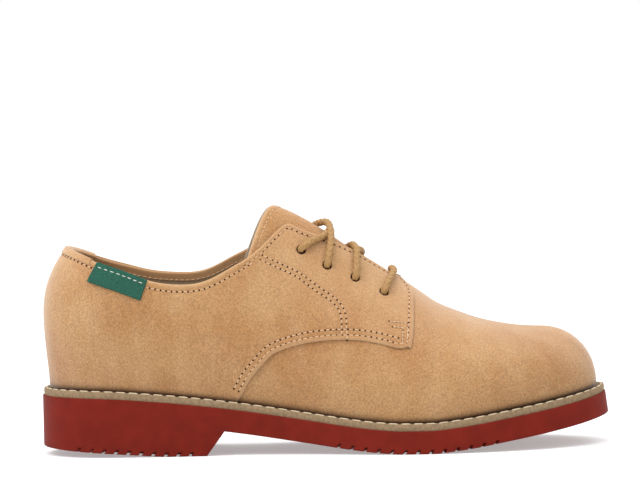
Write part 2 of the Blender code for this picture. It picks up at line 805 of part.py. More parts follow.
def groove_cutter(along, side, floor):
    """A slanted bar that cuts one tread groove in from the edge."""
    turn = math.acos(1.0 - 2.0 * along) / math.pi
    edge, inward = sole_edge(side, np.array([turn]))
    start = edge[0] - inward[0] * GROOVE_OVERCUT
    end = edge[0] + inward[0] * GROOVE_LENGTH
    height = float(floor(edge[0][0]))
    ahead = np.array([-inward[0][1], inward[0][0]]) * (1 if side == LATERAL else -1)
    if ahead[0] < 0:
        ahead = -ahead
    lean = math.tan(math.radians(GROOVE_LEAN_DEG))
    section = []
    corners = ((-0.5, -GROOVE_OVERCUT), (0.5, -GROOVE_OVERCUT),
               (0.5, GROOVE_HEIGHT), (-0.5, GROOVE_HEIGHT))
    for step, level in corners:
        shift = step * GROOVE_WIDTH + level * lean
        section.append((shift, height + level))
    solid = Solid()
    rows = []
    for place in (start, end):
        rows.append([np.array([*(place + ahead * shift), level]) for shift, level in section])
    ring = np.array([row + row[:1] for row in rows])
    solid.grid(ring)
    for row in rows:
        base = len(solid.vertices)
        solid.vertices.extend(row)
        solid.faces.append([base, base + 1, base + 2, base + 3])
    return solid


def make_sole(material):
    """The rubber unit sole with its heel, arch, toe spring and edge grooves."""
    def no_inset(side, along):
        return np.zeros_like(along)

    def flare(side, along):
        return SOLE_FLARE * ease((along - FLARE_GROWS_FROM) / FLARE_GROWS_OVER)

    sole = plate("outsole", station_turns(), no_inset, flare, underside, sole_top, material)
    bars = Solid()
    for start, count, pitch, floor in (
            (HEEL_GROOVE_START, HEEL_GROOVES, HEEL_GROOVE_PITCH, heel_underside),
            (FORE_GROOVE_START, FORE_GROOVES, FORE_GROOVE_PITCH, forepart_underside)):
        for k in range(count):
            for side in (LATERAL, MEDIAL):
                along = (start + k * pitch) / SOLE_LENGTH
                bar = groove_cutter(along, side, floor)
                base = len(bars.vertices)
                bars.vertices.extend(bar.vertices)
                bars.faces.extend([[base + i for i in face] for face in bar.faces])
    cutter = make_object("groove_cutter", bars.vertices, bars.faces, material)
    cut(sole, cutter)
    return sole


def make_welt(material):
    """The stitched welt: a flat ring on the sole, from its edge in to the upper's inner face."""
    turns = np.linspace(0.0, 1.0, 45)
    flared = SOLE_FLARE * ease((along_of(turns) - FLARE_GROWS_FROM) / FLARE_GROWS_OVER)
    rings = []
    for high in (False, True):
        for outer in (True, False):
            sides = []
            for side in (LATERAL, MEDIAL):
                if outer:
                    edge = sole_edge(side, turns, WELT_SETBACK + flared)[0]
                else:
                    edge = feather(side, turns)[0]
                lift = sole_top(edge[:, 0]) + (WELT_THICKNESS if high else GAP)
                sides.append(np.concatenate([edge, lift[:, None]], axis=1))
            loop = np.concatenate([sides[0], sides[1][::-1][1:]])
            rings.append(loop)
    low_outer, low_inner, high_outer, high_inner = rings
    solid = Solid()
    solid.strip(low_outer, high_outer)
    solid.strip(high_outer, high_inner)
    solid.strip(high_inner, low_inner)
    solid.strip(low_inner, low_outer)
    return make_object("welt", solid.vertices, solid.faces, material)


def make_insole(material):
    """The insole, which fills the welt's ring on top of the sole."""
    def fit(side, along):
        return WELT_LEDGE * ledge_share(along) + WALL + QUARTER_STEP + INSOLE_GAP

    def low(x):
        return sole_top(x) + GAP

    def high(x):
        return sole_top(x) + GAP + INSOLE_THICKNESS

    return plate("insole", np.linspace(0.0, 1.0, 37), fit, fit, low, high, material, across=3)


# Upper


def edge_points(side):
    """The quarter's edge as turns and shares of height, with its row shares."""
    parts = []
    for table, count in ((QUARTER_EDGE, QUARTER_EDGE_ROWS), (FLAP_EDGE, FLAP_EDGE_ROWS)):
        along, up = column(table, 0), column(table, 1)
        length = np.concatenate([[0.0], np.cumsum(np.hypot(
            np.diff(along), np.diff(up) * EDGE_HEIGHT_WEIGHT))])
        place = np.linspace(0.0, length[-1], count + 1)
        rows = np.stack([spring_line(length, column(table, i))(place) for i in range(2)]
                        + [steady_line(length, column(table, i))(place) for i in (2, 3)], axis=1)
        parts.append(rows if not parts else rows[1:])
    rows = np.concatenate(parts)
    turns = np.array([turn_at(side, row[0], row[1]) for row in rows])
    return turns, rows[:, 1], rows[:, 2], rows[:, 3]


def upper_side(solid, side):
    """One side of the upper: quarter and vamp on shared rows, with the step between."""
    edge_turn, edge_up, back_up, front_up = edge_points(side)
    quarter = np.linspace(0.0, 1.0, QUARTER_COLUMNS + 1)[None, :]
    throat = throat_turn()
    slot_turns = np.linspace(edge_turn[-1], throat, SLOT_END_COLUMNS + 1)
    ridge_turns = np.linspace(throat, 1.0, VAMP_COLUMNS - SLOT_END_COLUMNS + 1)
    top_turns = np.concatenate([slot_turns, ridge_turns[1:]])
    vamp = ((top_turns - edge_turn[-1]) / (1.0 - edge_turn[-1]))[None, :]
    patches = {
        "quarter": (edge_turn[:, None] * quarter,
                    back_up[:, None] * (1 - quarter) + edge_up[:, None] * quarter),
        "vamp": (edge_turn[:, None] * (1 - vamp) + vamp,
                 edge_up[:, None] * (1 - vamp) + front_up[:, None] * vamp),
    }
    levels = {"quarter": (0.0, WALL, WALL + QUARTER_STEP), "vamp": (0.0, WALL)}
    layers = {}
    for name, (turn, up) in patches.items():
        rise = top_of(side, turn) * up
        layers[name] = [skin(side, turn, rise, offset) for offset in levels[name]]
        solid.grid(layers[name][0])
        solid.grid(layers[name][-1])
        last = SLOT_END_COLUMNS + 1 if name == "vamp" else QUARTER_COLUMNS + 1
        for low, high in zip(layers[name][:-1], layers[name][1:]):
            solid.strip(low[0], high[0])
            solid.strip(low[-1][:last], high[-1][:last])
    solid.strip(layers["vamp"][1][:, 0], layers["quarter"][2][:, -1])


def make_upper(material):
    """The whole upper as one hollow solid, with the quarters raised over the vamp."""
    solid = Solid()
    for side in (LATERAL, MEDIAL):
        upper_side(solid, side)
    upper = make_object("upper", solid.vertices, solid.faces, material)
    holes = Solid()
    for side in (LATERAL, MEDIAL):
        for turn, rise in eyelet_places(side):
            add_rod(holes, skin(side, turn, rise, -EYELET_CUT_IN),
                    skin(side, turn, rise, EYELET_CUT_OUT), EYELET_DIAMETER / 2.0, EYELET_SIDES)
    cut(upper, make_object("eyelet_cutter", holes.vertices, holes.faces, material))
    return upper


def add_rod(solid, start, end, radius, sides):
    """Adds a straight round bar between two points."""
    axis = (end - start) / np.linalg.norm(end - start)
    across = np.cross(axis, (0.0, 1.0, 0.0))
    across /= np.linalg.norm(across)
    other = np.cross(axis, across)
    angles = np.linspace(0.0, 2.0 * math.pi, sides + 1)
    circle = (np.cos(angles)[:, None] * across + np.sin(angles)[:, None] * other) * radius
    solid.grid(np.stack([start + circle, end + circle]))
    for centre in (start, end):
        base = len(solid.vertices)
        solid.vertices.extend(centre + circle[:-1])
        solid.faces.append(list(range(base, base + sides)))


def walk_down(side, turn, start_rise, distance):
    """How far up a section a point lies that is a distance down its face from a start."""
    turn, start_rise, distance = np.broadcast_arrays(
        np.asarray(turn, float), np.asarray(start_rise, float), np.asarray(distance, float))
    shares = np.linspace(0.0, 1.0, 81)
    result = np.empty(turn.shape)
    for index in np.ndindex(turn.shape):
        rises = start_rise[index] * (1.0 - shares)
        points = last_point(side, turn[index], rises)
        steps = np.linalg.norm(np.diff(points, axis=0), axis=1)
        result[index] = np.interp(distance[index], np.concatenate([[0.0], np.cumsum(steps)]), rises)
    return result


def eyelet_places(side):
    """Turn and rise of each eyelet, counted from the top pair down."""
    turns = np.linspace(0.30, 0.75, 91)
    tops = top_of(side, turns)
    places = []
    for share, inset in EYELET_TABLE:
        rises = walk_down(side, turns, tops, inset)
        line = last_point(side, turns, rises)[:, 0] + SOLE_LENGTH / 2.0
        along = share * SOLE_LENGTH
        turn = float(np.interp(along, line, turns))
        places.append((turn, float(np.interp(turn, turns, rises))))
    return places


# Tongue


def make_tongue(material):
    """The tongue, under the flaps from the vamp's throat to its wide top end."""
    lengthwise = np.linspace(0.0, 1.0, TONGUE_ROWS + 1)[:, None]
    crosswise = np.linspace(-1.0, 1.0, TONGUE_COLUMNS + 1)[None, :]
    tip = TONGUE_TIP_ALONG - TONGUE_END_SWEEP * crosswise ** 2
    along = (TONGUE_FRONT_ALONG * (1 - lengthwise) + tip * lengthwise) / SOLE_LENGTH
    share = (along - RIDGE_BACK_ALONG) / (RIDGE_FRONT_ALONG - RIDGE_BACK_ALONG)
    turn = np.arccos(1.0 - 2.0 * share) / math.pi
    half = TONGUE_HALF_FRONT + (TONGUE_HALF_TOP - TONGUE_HALF_FRONT) * ease(lengthwise * TONGUE_SPREAD)
    reach = np.abs(crosswise) * half
    faces = []
    for offset in (-TONGUE_GAP, -TONGUE_GAP - TONGUE_THICKNESS):
        points = np.empty(turn.shape + (3,))
        for side, chosen in ((LATERAL, crosswise[0] < 0.0), (MEDIAL, crosswise[0] >= 0.0)):
            rise = walk_down(side, turn[:, chosen], 1.0, reach[:, chosen])
            rise = np.where(reach[:, chosen] < 1e-9, 1.0, rise)
            points[:, chosen] = skin(side, turn[:, chosen], rise, offset)
        faces.append(points)
    solid = Solid()
    top, bottom = faces
    solid.grid(top)
    solid.grid(bottom)
    for row in (0, -1):
        solid.strip(top[row], bottom[row])
        solid.strip(top[:, row], bottom[:, row])
    return make_object("tongue", solid.vertices, solid.faces, material)


# Laces


def add_tube(solid, route, radius, sides=LACE_SIDES, steps=LACE_STEPS):
    """Adds a round tube along a smooth curve through the route's points."""
    route = np.asarray(route, float)
    length = np.concatenate([[0.0], np.cumsum(np.linalg.norm(np.diff(route, axis=0), axis=1))])
    place = np.linspace(0.0, length[-1], steps + 1)
    line = np.stack([spring_line(length, route[:, i])(place) for i in range(3)], axis=1)
    tangent = np.gradient(line, axis=0)
    tangent /= np.linalg.norm(tangent, axis=1, keepdims=True)
    frame = np.cross(tangent[0], (1.0, 0.0, 0.0))
    angles = np.linspace(0.0, 2.0 * math.pi, sides + 1)
    rings = []
    for point, ahead in zip(line, tangent):
        frame = frame - ahead * np.dot(frame, ahead)
        frame /= np.linalg.norm(frame)
        other = np.cross(ahead, frame)
        rings.append(point + radius * (np.cos(angles)[:, None] * frame
                                       + np.sin(angles)[:, None] * other))
    solid.grid(np.stack(rings))
    for ring in (rings[0], rings[-1]):
        base = len(solid.vertices)
        solid.vertices.extend(ring[:-1])
        solid.faces.append(list(range(base, base + sides)))


def lace_route(side, start, end, path):
    """The points of one lace from an eyelet on one side towards one on the other side."""
    (turn_a, rise_a), (turn_b, rise_b) = start, end
    points = []
    for across, share, height, ahead in path:
        turn = turn_a + (turn_b - turn_a) * share + ahead
        here = side if across <= 1.5 else -side
        top = float(top_of(here, turn))
        if across <= 1.0:
            rise = rise_a + (top - rise_a) * across
        elif across <= 2.0:
            rise = top + (1.0 - top) * (1.0 - abs(across - 1.5) * 2.0)
        else:
            rise = top + (rise_b - top) * (across - 2.0)
        points.append(skin(here, turn, rise, height * LACE_DIAMETER / 2.0).reshape(3))
    return points


def make_laces(material):
    """The lowest bar and the two crossings, each crossing joined as one solid."""
    eyelets = {side: eyelet_places(side) for side in (LATERAL, MEDIAL)}
    for name, low, high, paths in (("lace_bar", 3, 3, (LACE_STRAIGHT,)),
                                   ("lace_cross_upper", 1, 0, (LACE_OVER, LACE_UNDER)),
                                   ("lace_cross_lower", 2, 1, (LACE_LOW_OVER, LACE_LOW_UNDER))):
        strands = []
        for side, path in zip((LATERAL, MEDIAL), paths):
            strand = Solid()
            route = lace_route(side, eyelets[side][low], eyelets[-side][high], path)
            add_tube(strand, route, LACE_DIAMETER / 2.0)
            strands.append(make_object(name, strand.vertices, strand.faces, material))
        for other in strands[1:]:
            join_solid(strands[0], other)
        strands[0].name = name


# Collar trim


def make_strip(material):
    """The folded strip over the back of the collar, inside and outside its edge."""
    outside = WALL + QUARTER_STEP + STRIP_GAP
    inside = -STRIP_GAP
    thick = STRIP_THICKNESS
    over = -STRIP_GAP
    loop = [(STRIP_HEIGHT, outside), (over, outside), (over, inside), (STRIP_HEIGHT, inside),
            (STRIP_HEIGHT, inside - thick), (over - thick, inside - thick),
            (over - thick, outside + thick), (STRIP_HEIGHT, outside + thick)]
    loop.append(loop[0])
    rings = []
    for share in np.linspace(-1.0, 1.0, 13):
        side = LATERAL if share < 0.0 else MEDIAL
        turns = np.linspace(0.0, 0.3, 61)
        line = last_point(side, turns, top_of(side, turns))
        length = np.concatenate([[0.0], np.cumsum(np.linalg.norm(np.diff(line, axis=0), axis=1))])
        turn = float(np.interp(abs(share) * STRIP_HALF_LENGTH, length, turns))
        top = float(top_of(side, turn))
        here, below = last_point(side, turn, top), last_point(side, turn, top - 0.01)
        per_metre = 0.01 / np.linalg.norm(here - below)
        rings.append([skin(side, turn, top - down * per_metre, offset).reshape(3)
                      for down, offset in loop])
    rings = np.array(rings)
    solid = Solid()
    solid.grid(rings)
    for ring in (rings[0], rings[-1]):
        solid.strip(ring[:4], ring[[7, 6, 5, 4]])
    return make_object("back_strip", solid.vertices, solid.faces, material)


def make_tab(material):
    """The bare woven tab on the lateral quarter, with its top on the collar's edge."""
    turns = np.linspace(0.0, 0.5, 101)
    line = last_point(LATERAL, turns, top_of(LATERAL, turns))
    start = np.interp(TAB_BACK_ALONG, line[:, 0] + SOLE_LENGTH / 2.0, turns)
    length = np.concatenate([[0.0], np.cumsum(np.linalg.norm(np.diff(line, axis=0), axis=1))])
    base = np.interp(start, turns, length)
    faces = []
    for offset in (WALL + QUARTER_STEP + GAP, WALL + QUARTER_STEP + GAP + TAB_THICKNESS):
        rows = []
        for down in np.linspace(0.0, 1.0, 3):
            skew = -down * TAB_HEIGHT * TAB_SKEW
            place = base + skew + np.linspace(0.0, TAB_LENGTH, 7)
            turn = np.interp(place, length, turns)
            top = top_of(LATERAL, turn)
            rise = walk_down(LATERAL, turn, top, down * TAB_HEIGHT)
            rows.append(skin(LATERAL, turn, rise, offset))
        faces.append(np.array(rows))
    low, high = faces
    solid = Solid()
    solid.grid(low)
    solid.grid(high)
    for row in (0, -1):
        solid.strip(low[row], high[row])
        solid.strip(low[:, row], high[:, row])
    return make_object("collar_tab", solid.vertices, solid.faces, material)


suede = make_material("suede", COLOURS["suede"], 0.95)
lining = make_material("lining", COLOURS["lining"], 0.8)
welting = make_material("welt", COLOURS["welt"], 0.7)
rubber = make_material("rubber", COLOURS["rubber"], 0.5)
cord = make_material("lace", COLOURS["lace"], 0.6)
ribbon = make_material("tab", COLOURS["tab"], 0.7)

make_sole(rubber)
make_welt(welting)
make_insole(lining)
make_upper(suede)
make_tongue(suede)
make_laces(cord)
make_strip(suede)
make_tab(ribbon)
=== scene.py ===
# Buck oxford, right shoe: suede derby on a brick-red rubber sole, on a pale studio floor.
# The toe points along +X, the lateral side is -Y and faces the camera, and +Z is up.

import math

import bmesh
import bpy
import numpy as np
from mathutils import Matrix, Vector


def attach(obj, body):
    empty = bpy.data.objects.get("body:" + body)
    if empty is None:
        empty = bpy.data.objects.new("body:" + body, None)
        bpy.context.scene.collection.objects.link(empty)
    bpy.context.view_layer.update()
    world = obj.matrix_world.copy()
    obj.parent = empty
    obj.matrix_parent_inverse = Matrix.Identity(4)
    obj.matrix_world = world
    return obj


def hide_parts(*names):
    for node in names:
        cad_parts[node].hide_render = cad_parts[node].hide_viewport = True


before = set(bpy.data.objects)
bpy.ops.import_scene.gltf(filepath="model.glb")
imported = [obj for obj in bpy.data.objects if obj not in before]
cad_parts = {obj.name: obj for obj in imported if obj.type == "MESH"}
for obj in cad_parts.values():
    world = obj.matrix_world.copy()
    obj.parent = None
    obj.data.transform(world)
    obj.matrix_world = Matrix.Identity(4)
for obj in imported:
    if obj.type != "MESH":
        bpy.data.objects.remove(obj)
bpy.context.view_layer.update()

lateralSide = -1
medialSide = 1


# A soft step from 0 to 1.
def ease(share):
    share = np.clip(share, 0.0, 1.0)
    return share * share * (3.0 - 2.0 * share)


# One column of a table, as an array.
def column(table, index):
    return np.array([row[index] for row in table])


# A smooth line through the knots that never overshoots them.
def steadyLine(knots, values):
    knots = np.asarray(knots, float)
    values = np.asarray(values, float)
    steps = np.diff(knots)
    rises = np.diff(values) / steps
    slopes = np.zeros_like(values)
    slopes[0] = rises[0]
    slopes[-1] = rises[-1]
    for i in range(1, len(values) - 1):
        if rises[i - 1] * rises[i] > 0.0:
            first = 2.0 * steps[i] + steps[i - 1]
            second = steps[i] + 2.0 * steps[i - 1]
            slopes[i] = (first + second) / (first / rises[i - 1] + second / rises[i])

    def line(at):
        at = np.asarray(at, float)
        i = np.clip(np.searchsorted(knots, at, side="right") - 1, 0, len(steps) - 1)
        t = np.clip((at - knots[i]) / steps[i], 0.0, 1.0)
        inside = (values[i] * (1 + 2 * t) * (1 - t) ** 2
                  + slopes[i] * steps[i] * t * (1 - t) ** 2
                  + values[i + 1] * t * t * (3 - 2 * t)
                  + slopes[i + 1] * steps[i] * t * t * (t - 1))
        before = np.minimum(at - knots[0], 0.0) * slopes[0]
        after = np.maximum(at - knots[-1], 0.0) * slopes[-1]
        return inside + before + after

    return line


# A natural cubic spline through the knots, straight beyond them.
def springLine(knots, values):
    knots = np.asarray(knots, float)
    values = np.asarray(values, float)
    steps = np.diff(knots)
    count = len(knots)
    matrix = np.eye(count)
    right = np.zeros(count)
    for i in range(1, count - 1):
        matrix[i, i - 1:i + 2] = (steps[i - 1], 2 * (steps[i - 1] + steps[i]), steps[i])
        right[i] = 6 * ((values[i + 1] - values[i]) / steps[i]
                        - (values[i] - values[i - 1]) / steps[i - 1])
    bends = np.linalg.solve(matrix, right)
    firstSlope = (values[1] - values[0]) / steps[0] - steps[0] * bends[1] / 6
    lastSlope = (values[-1] - values[-2]) / steps[-1] + steps[-1] * bends[-2] / 6

    def line(at):
        at = np.asarray(at, float)
        held = np.clip(at, knots[0], knots[-1])
        i = np.clip(np.searchsorted(knots, held, side="right") - 1, 0, count - 2)
        h = steps[i]
        a = (knots[i + 1] - held) / h
        b = (held - knots[i]) / h
        inside = (a * values[i] + b * values[i + 1]
                  + ((a ** 3 - a) * bends[i] + (b ** 3 - b) * bends[i + 1]) * h * h / 6)
        before = np.minimum(at - knots[0], 0.0) * firstSlope
        after = np.maximum(at - knots[-1], 0.0) * lastSlope
        return inside + before + after

    return line


# Sole's plan

print("last")
soleForm = {
    # metres
    "length": 0.270,
    "ballWidth": 0.098,
    "heelWidth": 0.066,
    "thickness": 0.0108,
    "heelLift": 0.0176,
    "toeSpring": 0.0140,
    "heelLength": 0.078,
    "breastSlant": 0.0085,
    "heelFlat": 0.020,
    "heelBackRise": 0.0040,
    "heelEnd": 0.034,
    "toeEnd": 0.050,
    "flare": 0.0012,
    # powers that round the two ends in plan
    "heelSquareness": 2.15,
    "toeSquareness": 2.45,
    # where the width and the flare grow, as shares of the length
    "widthFrom": 0.20,
    "widthOver": 0.45,
    "flareFrom": 0.35,
    "flareOver": 0.35,
}
soleLength = soleForm["length"]

# Half widths of the sole. along is a share of the sole's length from the heel;
# lateral and medial are shares of the local width, which grows from heel to ball.
outlineTable = (
    # along, lateral, medial
    (0.00, 0.480, 0.480),
    (0.15, 0.500, 0.497),
    (0.25, 0.507, 0.470),
    (0.35, 0.458, 0.370),
    (0.45, 0.437, 0.342),
    (0.52, 0.448, 0.362),
    (0.60, 0.480, 0.402),
    (0.68, 0.500, 0.466),
    (0.75, 0.485, 0.500),
    (0.82, 0.441, 0.488),
    (0.90, 0.375, 0.440),
    (1.00, 0.300, 0.372),
)


# The width that the outline's shares belong to, from heel to ball.
def localWidth(along):
    heel, ball = soleForm["heelWidth"], soleForm["ballWidth"]
    return heel + (ball - heel) * ease((along - soleForm["widthFrom"]) / soleForm["widthOver"])


lateralShare = springLine(column(outlineTable, 0), column(outlineTable, 1))
medialShare = springLine(column(outlineTable, 0), column(outlineTable, 2))


# Rounds the heel and the toe: 1 in the middle and 0 at both tips.
def endRound(along):
    heel = np.clip(1.0 - along * soleLength / soleForm["heelEnd"], 0.0, 1.0)
    toe = np.clip(1.0 - (1.0 - along) * soleLength / soleForm["toeEnd"], 0.0, 1.0)
    atHeel = (1.0 - heel ** soleForm["heelSquareness"]) ** (1.0 / soleForm["heelSquareness"])
    atToe = (1.0 - toe ** soleForm["toeSquareness"]) ** (1.0 / soleForm["toeSquareness"])
    return atHeel * atToe


# Share of the length for a turn of 0 at the heel's tip and 1 at the toe's.
def alongOf(turn):
    return (1.0 - np.cos(math.pi * np.asarray(turn, float))) / 2.0


# The sole's edge in plan, before it is centred across.
def bareEdge(side, turn):
    along = alongOf(turn)
    width = localWidth(along)
    lateral = width * lateralShare(along)
    medial = width * medialShare(along)
    reach = endRound(along) * np.sign(np.sin(math.pi * np.asarray(turn, float)))
    across = (medial - lateral) / 2.0 + side * reach * (medial + lateral) / 2.0
    return np.stack([soleLength * (along - 0.5), across], axis=-1)


fullTurn = np.linspace(0.0, 1.0, 801)
centreShift = -(bareEdge(medialSide, fullTurn)[:, 1].max()
                 + bareEdge(lateralSide, fullTurn)[:, 1].min()) / 2.0


# The sole's edge in plan, moved inwards by an inset.
def soleEdge(side, turn, inset=0.0):
    turn = np.asarray(turn, float)
    point = bareEdge(side, turn)
    tangent = bareEdge(side, turn + 1e-3) - bareEdge(side, turn - 1e-3)
    tangent /= np.linalg.norm(tangent, axis=-1, keepdims=True)
    inward = side * np.stack([tangent[..., 1], -tangent[..., 0]], axis=-1)
    point = point + inward * np.asarray(inset)[..., None]
    return point + np.array([0.0, centreShift]), inward


# Sole's and welt's heights

weltForm = {
    "thickness": 0.0033,
    "setback": 0.0006,
    "ledge": 0.0026,
}

# Height of the sole's underside line: heel is a share of the heel lift and
# spring is a share of the toe spring.
soleLineTable = (
    # along, heel, spring
    (0.000, 1.000, 0.000),
    (0.040, 0.998, 0.000),
    (0.110, 0.967, 0.000),
    (0.197, 0.868, 0.000),
    (0.285, 0.722, 0.000),
    (0.370, 0.538, 0.000),
    (0.459, 0.322, 0.000),
    (0.544, 0.118, 0.000),
    (0.589, 0.038, 0.000),
    (0.630, 0.000, 0.000),
    (0.680, 0.000, 0.000),
    (0.719, 0.000, 0.065),
    (0.763, 0.000, 0.172),
    (0.804, 0.000, 0.300),
    (0.896, 0.000, 0.588),
    (0.948, 0.000, 0.775),
    (1.000, 0.000, 1.000),
)

heelShare = steadyLine(column(soleLineTable, 0), column(soleLineTable, 1))
toeShare = steadyLine(column(soleLineTable, 0), column(soleLineTable, 2))


# Share of the sole's length for a place along X.
def shareAt(x):
    return np.asarray(x, float) / soleLength + 0.5


# Underside of the sole in front of the heel, with its flat spot and toe spring.
def forepartUnderside(x):
    along = shareAt(x)
    return soleForm["heelLift"] * heelShare(along) + soleForm["toeSpring"] * toeShare(along)


# Upper face of the rubber.
def soleTop(x):
    return forepartUnderside(x) + soleForm["thickness"]


# Underside of the heel: flat behind the breast, then rising to the back.
def heelUnderside(x):
    back = -soleLength / 2.0
    flatEnd = back + soleForm["heelLength"] - soleForm["heelFlat"]
    return soleForm["heelBackRise"] * np.clip((flatEnd - x) / (flatEnd - back), 0.0, 1.0)


# Upper face of the welt.
def weltTop(x):
    return soleTop(x) + weltForm["thickness"]


# Upper's surface

upperForm = {
    # metres
    "wall": 0.0018,
    "quarterStep": 0.0013,
    "gap": 0.0003,
    "collarBack": 0.0972,
    "collarDip": 0.0807,
    "medialRise": 0.0025,
    "flapTop": 0.1085,
    "instep": 0.1172,
    "toeBox": 0.0535,
    "cone": 0.138,
    "bulge": 0.0040,
    "slotHalfTop": 0.0095,
    "slotHalfFront": 0.0045,
    "slotTop": 0.440 * soleLength,
    "throat": 0.626 * soleLength,
    "flapStart": 0.333 * soleLength,
    # how the side bulges between the welt and the ridge, as shares of the height
    "bulgeTopHeel": 0.69,
    "bulgeTopFore": 1.00,
    "bulgeLowHeel": 1.53,
    "bulgeLowFore": 0.85,
    # where the bulge changes and the medial collar is higher, as shares of the length
    "bulgeFrom": 0.10,
    "bulgeOver": 0.35,
    "riseFrom": 0.12,
    "riseTo": 0.33,
    "riseBlend": 0.12,
    # upright foot of the wall and soft corner at the throat, as shares of a section
    "footRise": 0.08,
    "cornerSoftness": 0.012,
}
wall, quarterStep, gap = upperForm["wall"], upperForm["quarterStep"], upperForm["gap"]

# Cross sections of the upper. ledge is a share of the welt's ledge, square is the
# roundness power of the section, and the bulges are shares of the side bulge.
sectionTable = (
    # along, ledge, square, lateral bulge, medial bulge
    (0.00, 1.35, 1.80, 1.55, 1.55),
    (0.12, 1.20, 2.15, 1.00, 1.00),
    (0.30, 1.00, 2.15, 0.35, 0.50),
    (0.45, 1.00, 1.68, 0.20, 0.75),
    (0.58, 1.15, 1.60, 0.20, 0.45),
    (0.70, 1.50, 1.90, 0.45, 0.45),
    (0.85, 1.45, 2.35, 0.50, 0.50),
    (1.00, 1.70, 2.12, 0.15, 0.15),
)

# The ridge line of the last. cone, instep and toe are shares of the cone, instep
# and toe box heights, and swing is the ridge's way to the medial side, as a share
# of the ball width.
ridgeTable = (
    # along, cone, instep, toe, swing
    (0.000, 0.980, 0.000, 0.000, 0.000),
    (0.160, 0.9305, 0.000, 0.000, 0.000),
    (0.290, 0.320, 0.700, 0.000, -0.010),
    (0.422, 0.000, 0.998, 0.000, -0.028),
    (0.483, 0.000, 0.925, 0.000, -0.024),
    (0.556, 0.000, 0.805, 0.000, -0.014),
    (0.624, 0.000, 0.683, 0.000, 0.004),
    (0.663, 0.000, 0.622, 0.000, 0.016),
    (0.693, 0.000, 0.290, 0.618, 0.026),
    (0.729, 0.000, 0.100, 0.951, 0.032),
    (0.764, 0.000, 0.000, 1.103, 0.036),
    (0.799, 0.000, 0.000, 1.056, 0.038),
    (0.835, 0.000, 0.000, 1.024, 0.038),
    (0.880, 0.000, 0.000, 1.008, 0.038),
    (1.000, 0.000, 0.000, 1.004, 0.036),
)
ridgeBackAlong = 0.16
ridgeFrontAlong = 0.885

# The collar's top line from the back to the flap. dip and flap are shares of the
# way from the collar's lowest height up to its back height or to the flap's top.
toplineTable = (
    # along, back, flap
    (0.000, 1.030, 0.000),
    (0.045, 1.000, 0.000),
    (0.100, 0.660, 0.000),
    (0.150, 0.380, 0.000),
    (0.195, 0.120, 0.000),
    (0.245, 0.000, 0.000),
    (0.290, 0.000, 0.045),
    (0.340, 0.000, 0.280),
    (0.378, 0.000, 0.500),
    (0.400, 0.000, 0.690),
    (0.425, 0.000, 0.900),
    (0.455, 0.000, 1.000),
    (0.480, 0.000, 1.020),
    (0.560, 0.000, 1.030),
)

ledgeShare = steadyLine(column(sectionTable, 0), column(sectionTable, 1))
squareness = steadyLine(column(sectionTable, 0), column(sectionTable, 2))
lateralBulge = steadyLine(column(sectionTable, 0), column(sectionTable, 3))
medialBulge = steadyLine(column(sectionTable, 0), column(sectionTable, 4))
ridgeHeight = springLine(
    column(ridgeTable, 0),
    column(ridgeTable, 1) * upperForm["cone"] + column(ridgeTable, 2) * upperForm["instep"]
    + column(ridgeTable, 3) * upperForm["toeBox"])
ridgeSwing = springLine(column(ridgeTable, 0), column(ridgeTable, 4))


# Height of the collar's edge, a little higher on the medial side.
def toplineHeight(side, x):
    dip = upperForm["collarDip"]
    back = column(toplineTable, 1) * (upperForm["collarBack"] - dip)
    flap = column(toplineTable, 2) * (upperForm["flapTop"] - dip)
    line = springLine(column(toplineTable, 0), dip + back + flap)
    along = shareAt(x)
    rise = upperForm["medialRise"] if side == medialSide else 0.0
    starts = ease((along - upperForm["riseFrom"]) / upperForm["riseBlend"])
    ends = ease((along - upperForm["riseTo"]) / upperForm["riseBlend"])
    return line(along) + rise * starts * (1.0 - ends)


# The inner face's foot line on the welt, with its inward direction.
def feather(side, turn):
    along = alongOf(turn)
    inset = weltForm["ledge"] * ledgeShare(along) + wall + quarterStep
    return soleEdge(side, turn, inset)


# Plan place on the ridge where the section from this share ends.
def ridgePoint(along):
    ridgeAlong = ridgeBackAlong + (ridgeFrontAlong - ridgeBackAlong) * along
    x = soleLength * (ridgeAlong - 0.5)
    return np.stack([x, soleForm["ballWidth"] * ridgeSwing(ridgeAlong)], axis=-1)


# A point of the inner face: turn runs heel to toe and rise runs welt to ridge.
def lastPoint(side, turn, rise):
    turn = np.asarray(turn, float)
    rise = np.asarray(rise, float)
    turn, rise = np.broadcast_arrays(turn, rise)
    along = alongOf(turn)
    foot, inward = feather(side, turn)
    top = ridgePoint(along)
    power = squareness(along)
    angle = rise * math.pi / 2.0
    cosine, sine = np.cos(angle), np.sin(angle)
    size = (np.abs(cosine) ** power + np.abs(sine) ** power) ** (1.0 / power)
    inwards, upwards = 1.0 - cosine / size, sine / size
    plan = foot + (top - foot) * inwards[..., None]
    footHeight = weltTop(foot[..., 0]) + gap
    height = footHeight + (ridgeHeight(shareAt(plan[..., 0])) - footHeight) * upwards
    bulge = upperForm["bulge"] * (lateralBulge(along) if side == lateralSide else medialBulge(along))
    grown = ease((along - upperForm["bulgeFrom"]) / upperForm["bulgeOver"])
    full = upperForm["bulgeTopHeel"] * (1.0 - grown) + upperForm["bulgeTopFore"] * grown
    lowness = upperForm["bulgeLowHeel"] * (1.0 - grown) + upperForm["bulgeLowFore"] * grown
    swell = np.sin(math.pi * np.clip(upwards / full, 0.0, 1.0) ** lowness)
    plan = plan - inward * (bulge * swell)[..., None]
    return np.concatenate([plan, height[..., None]], axis=-1)


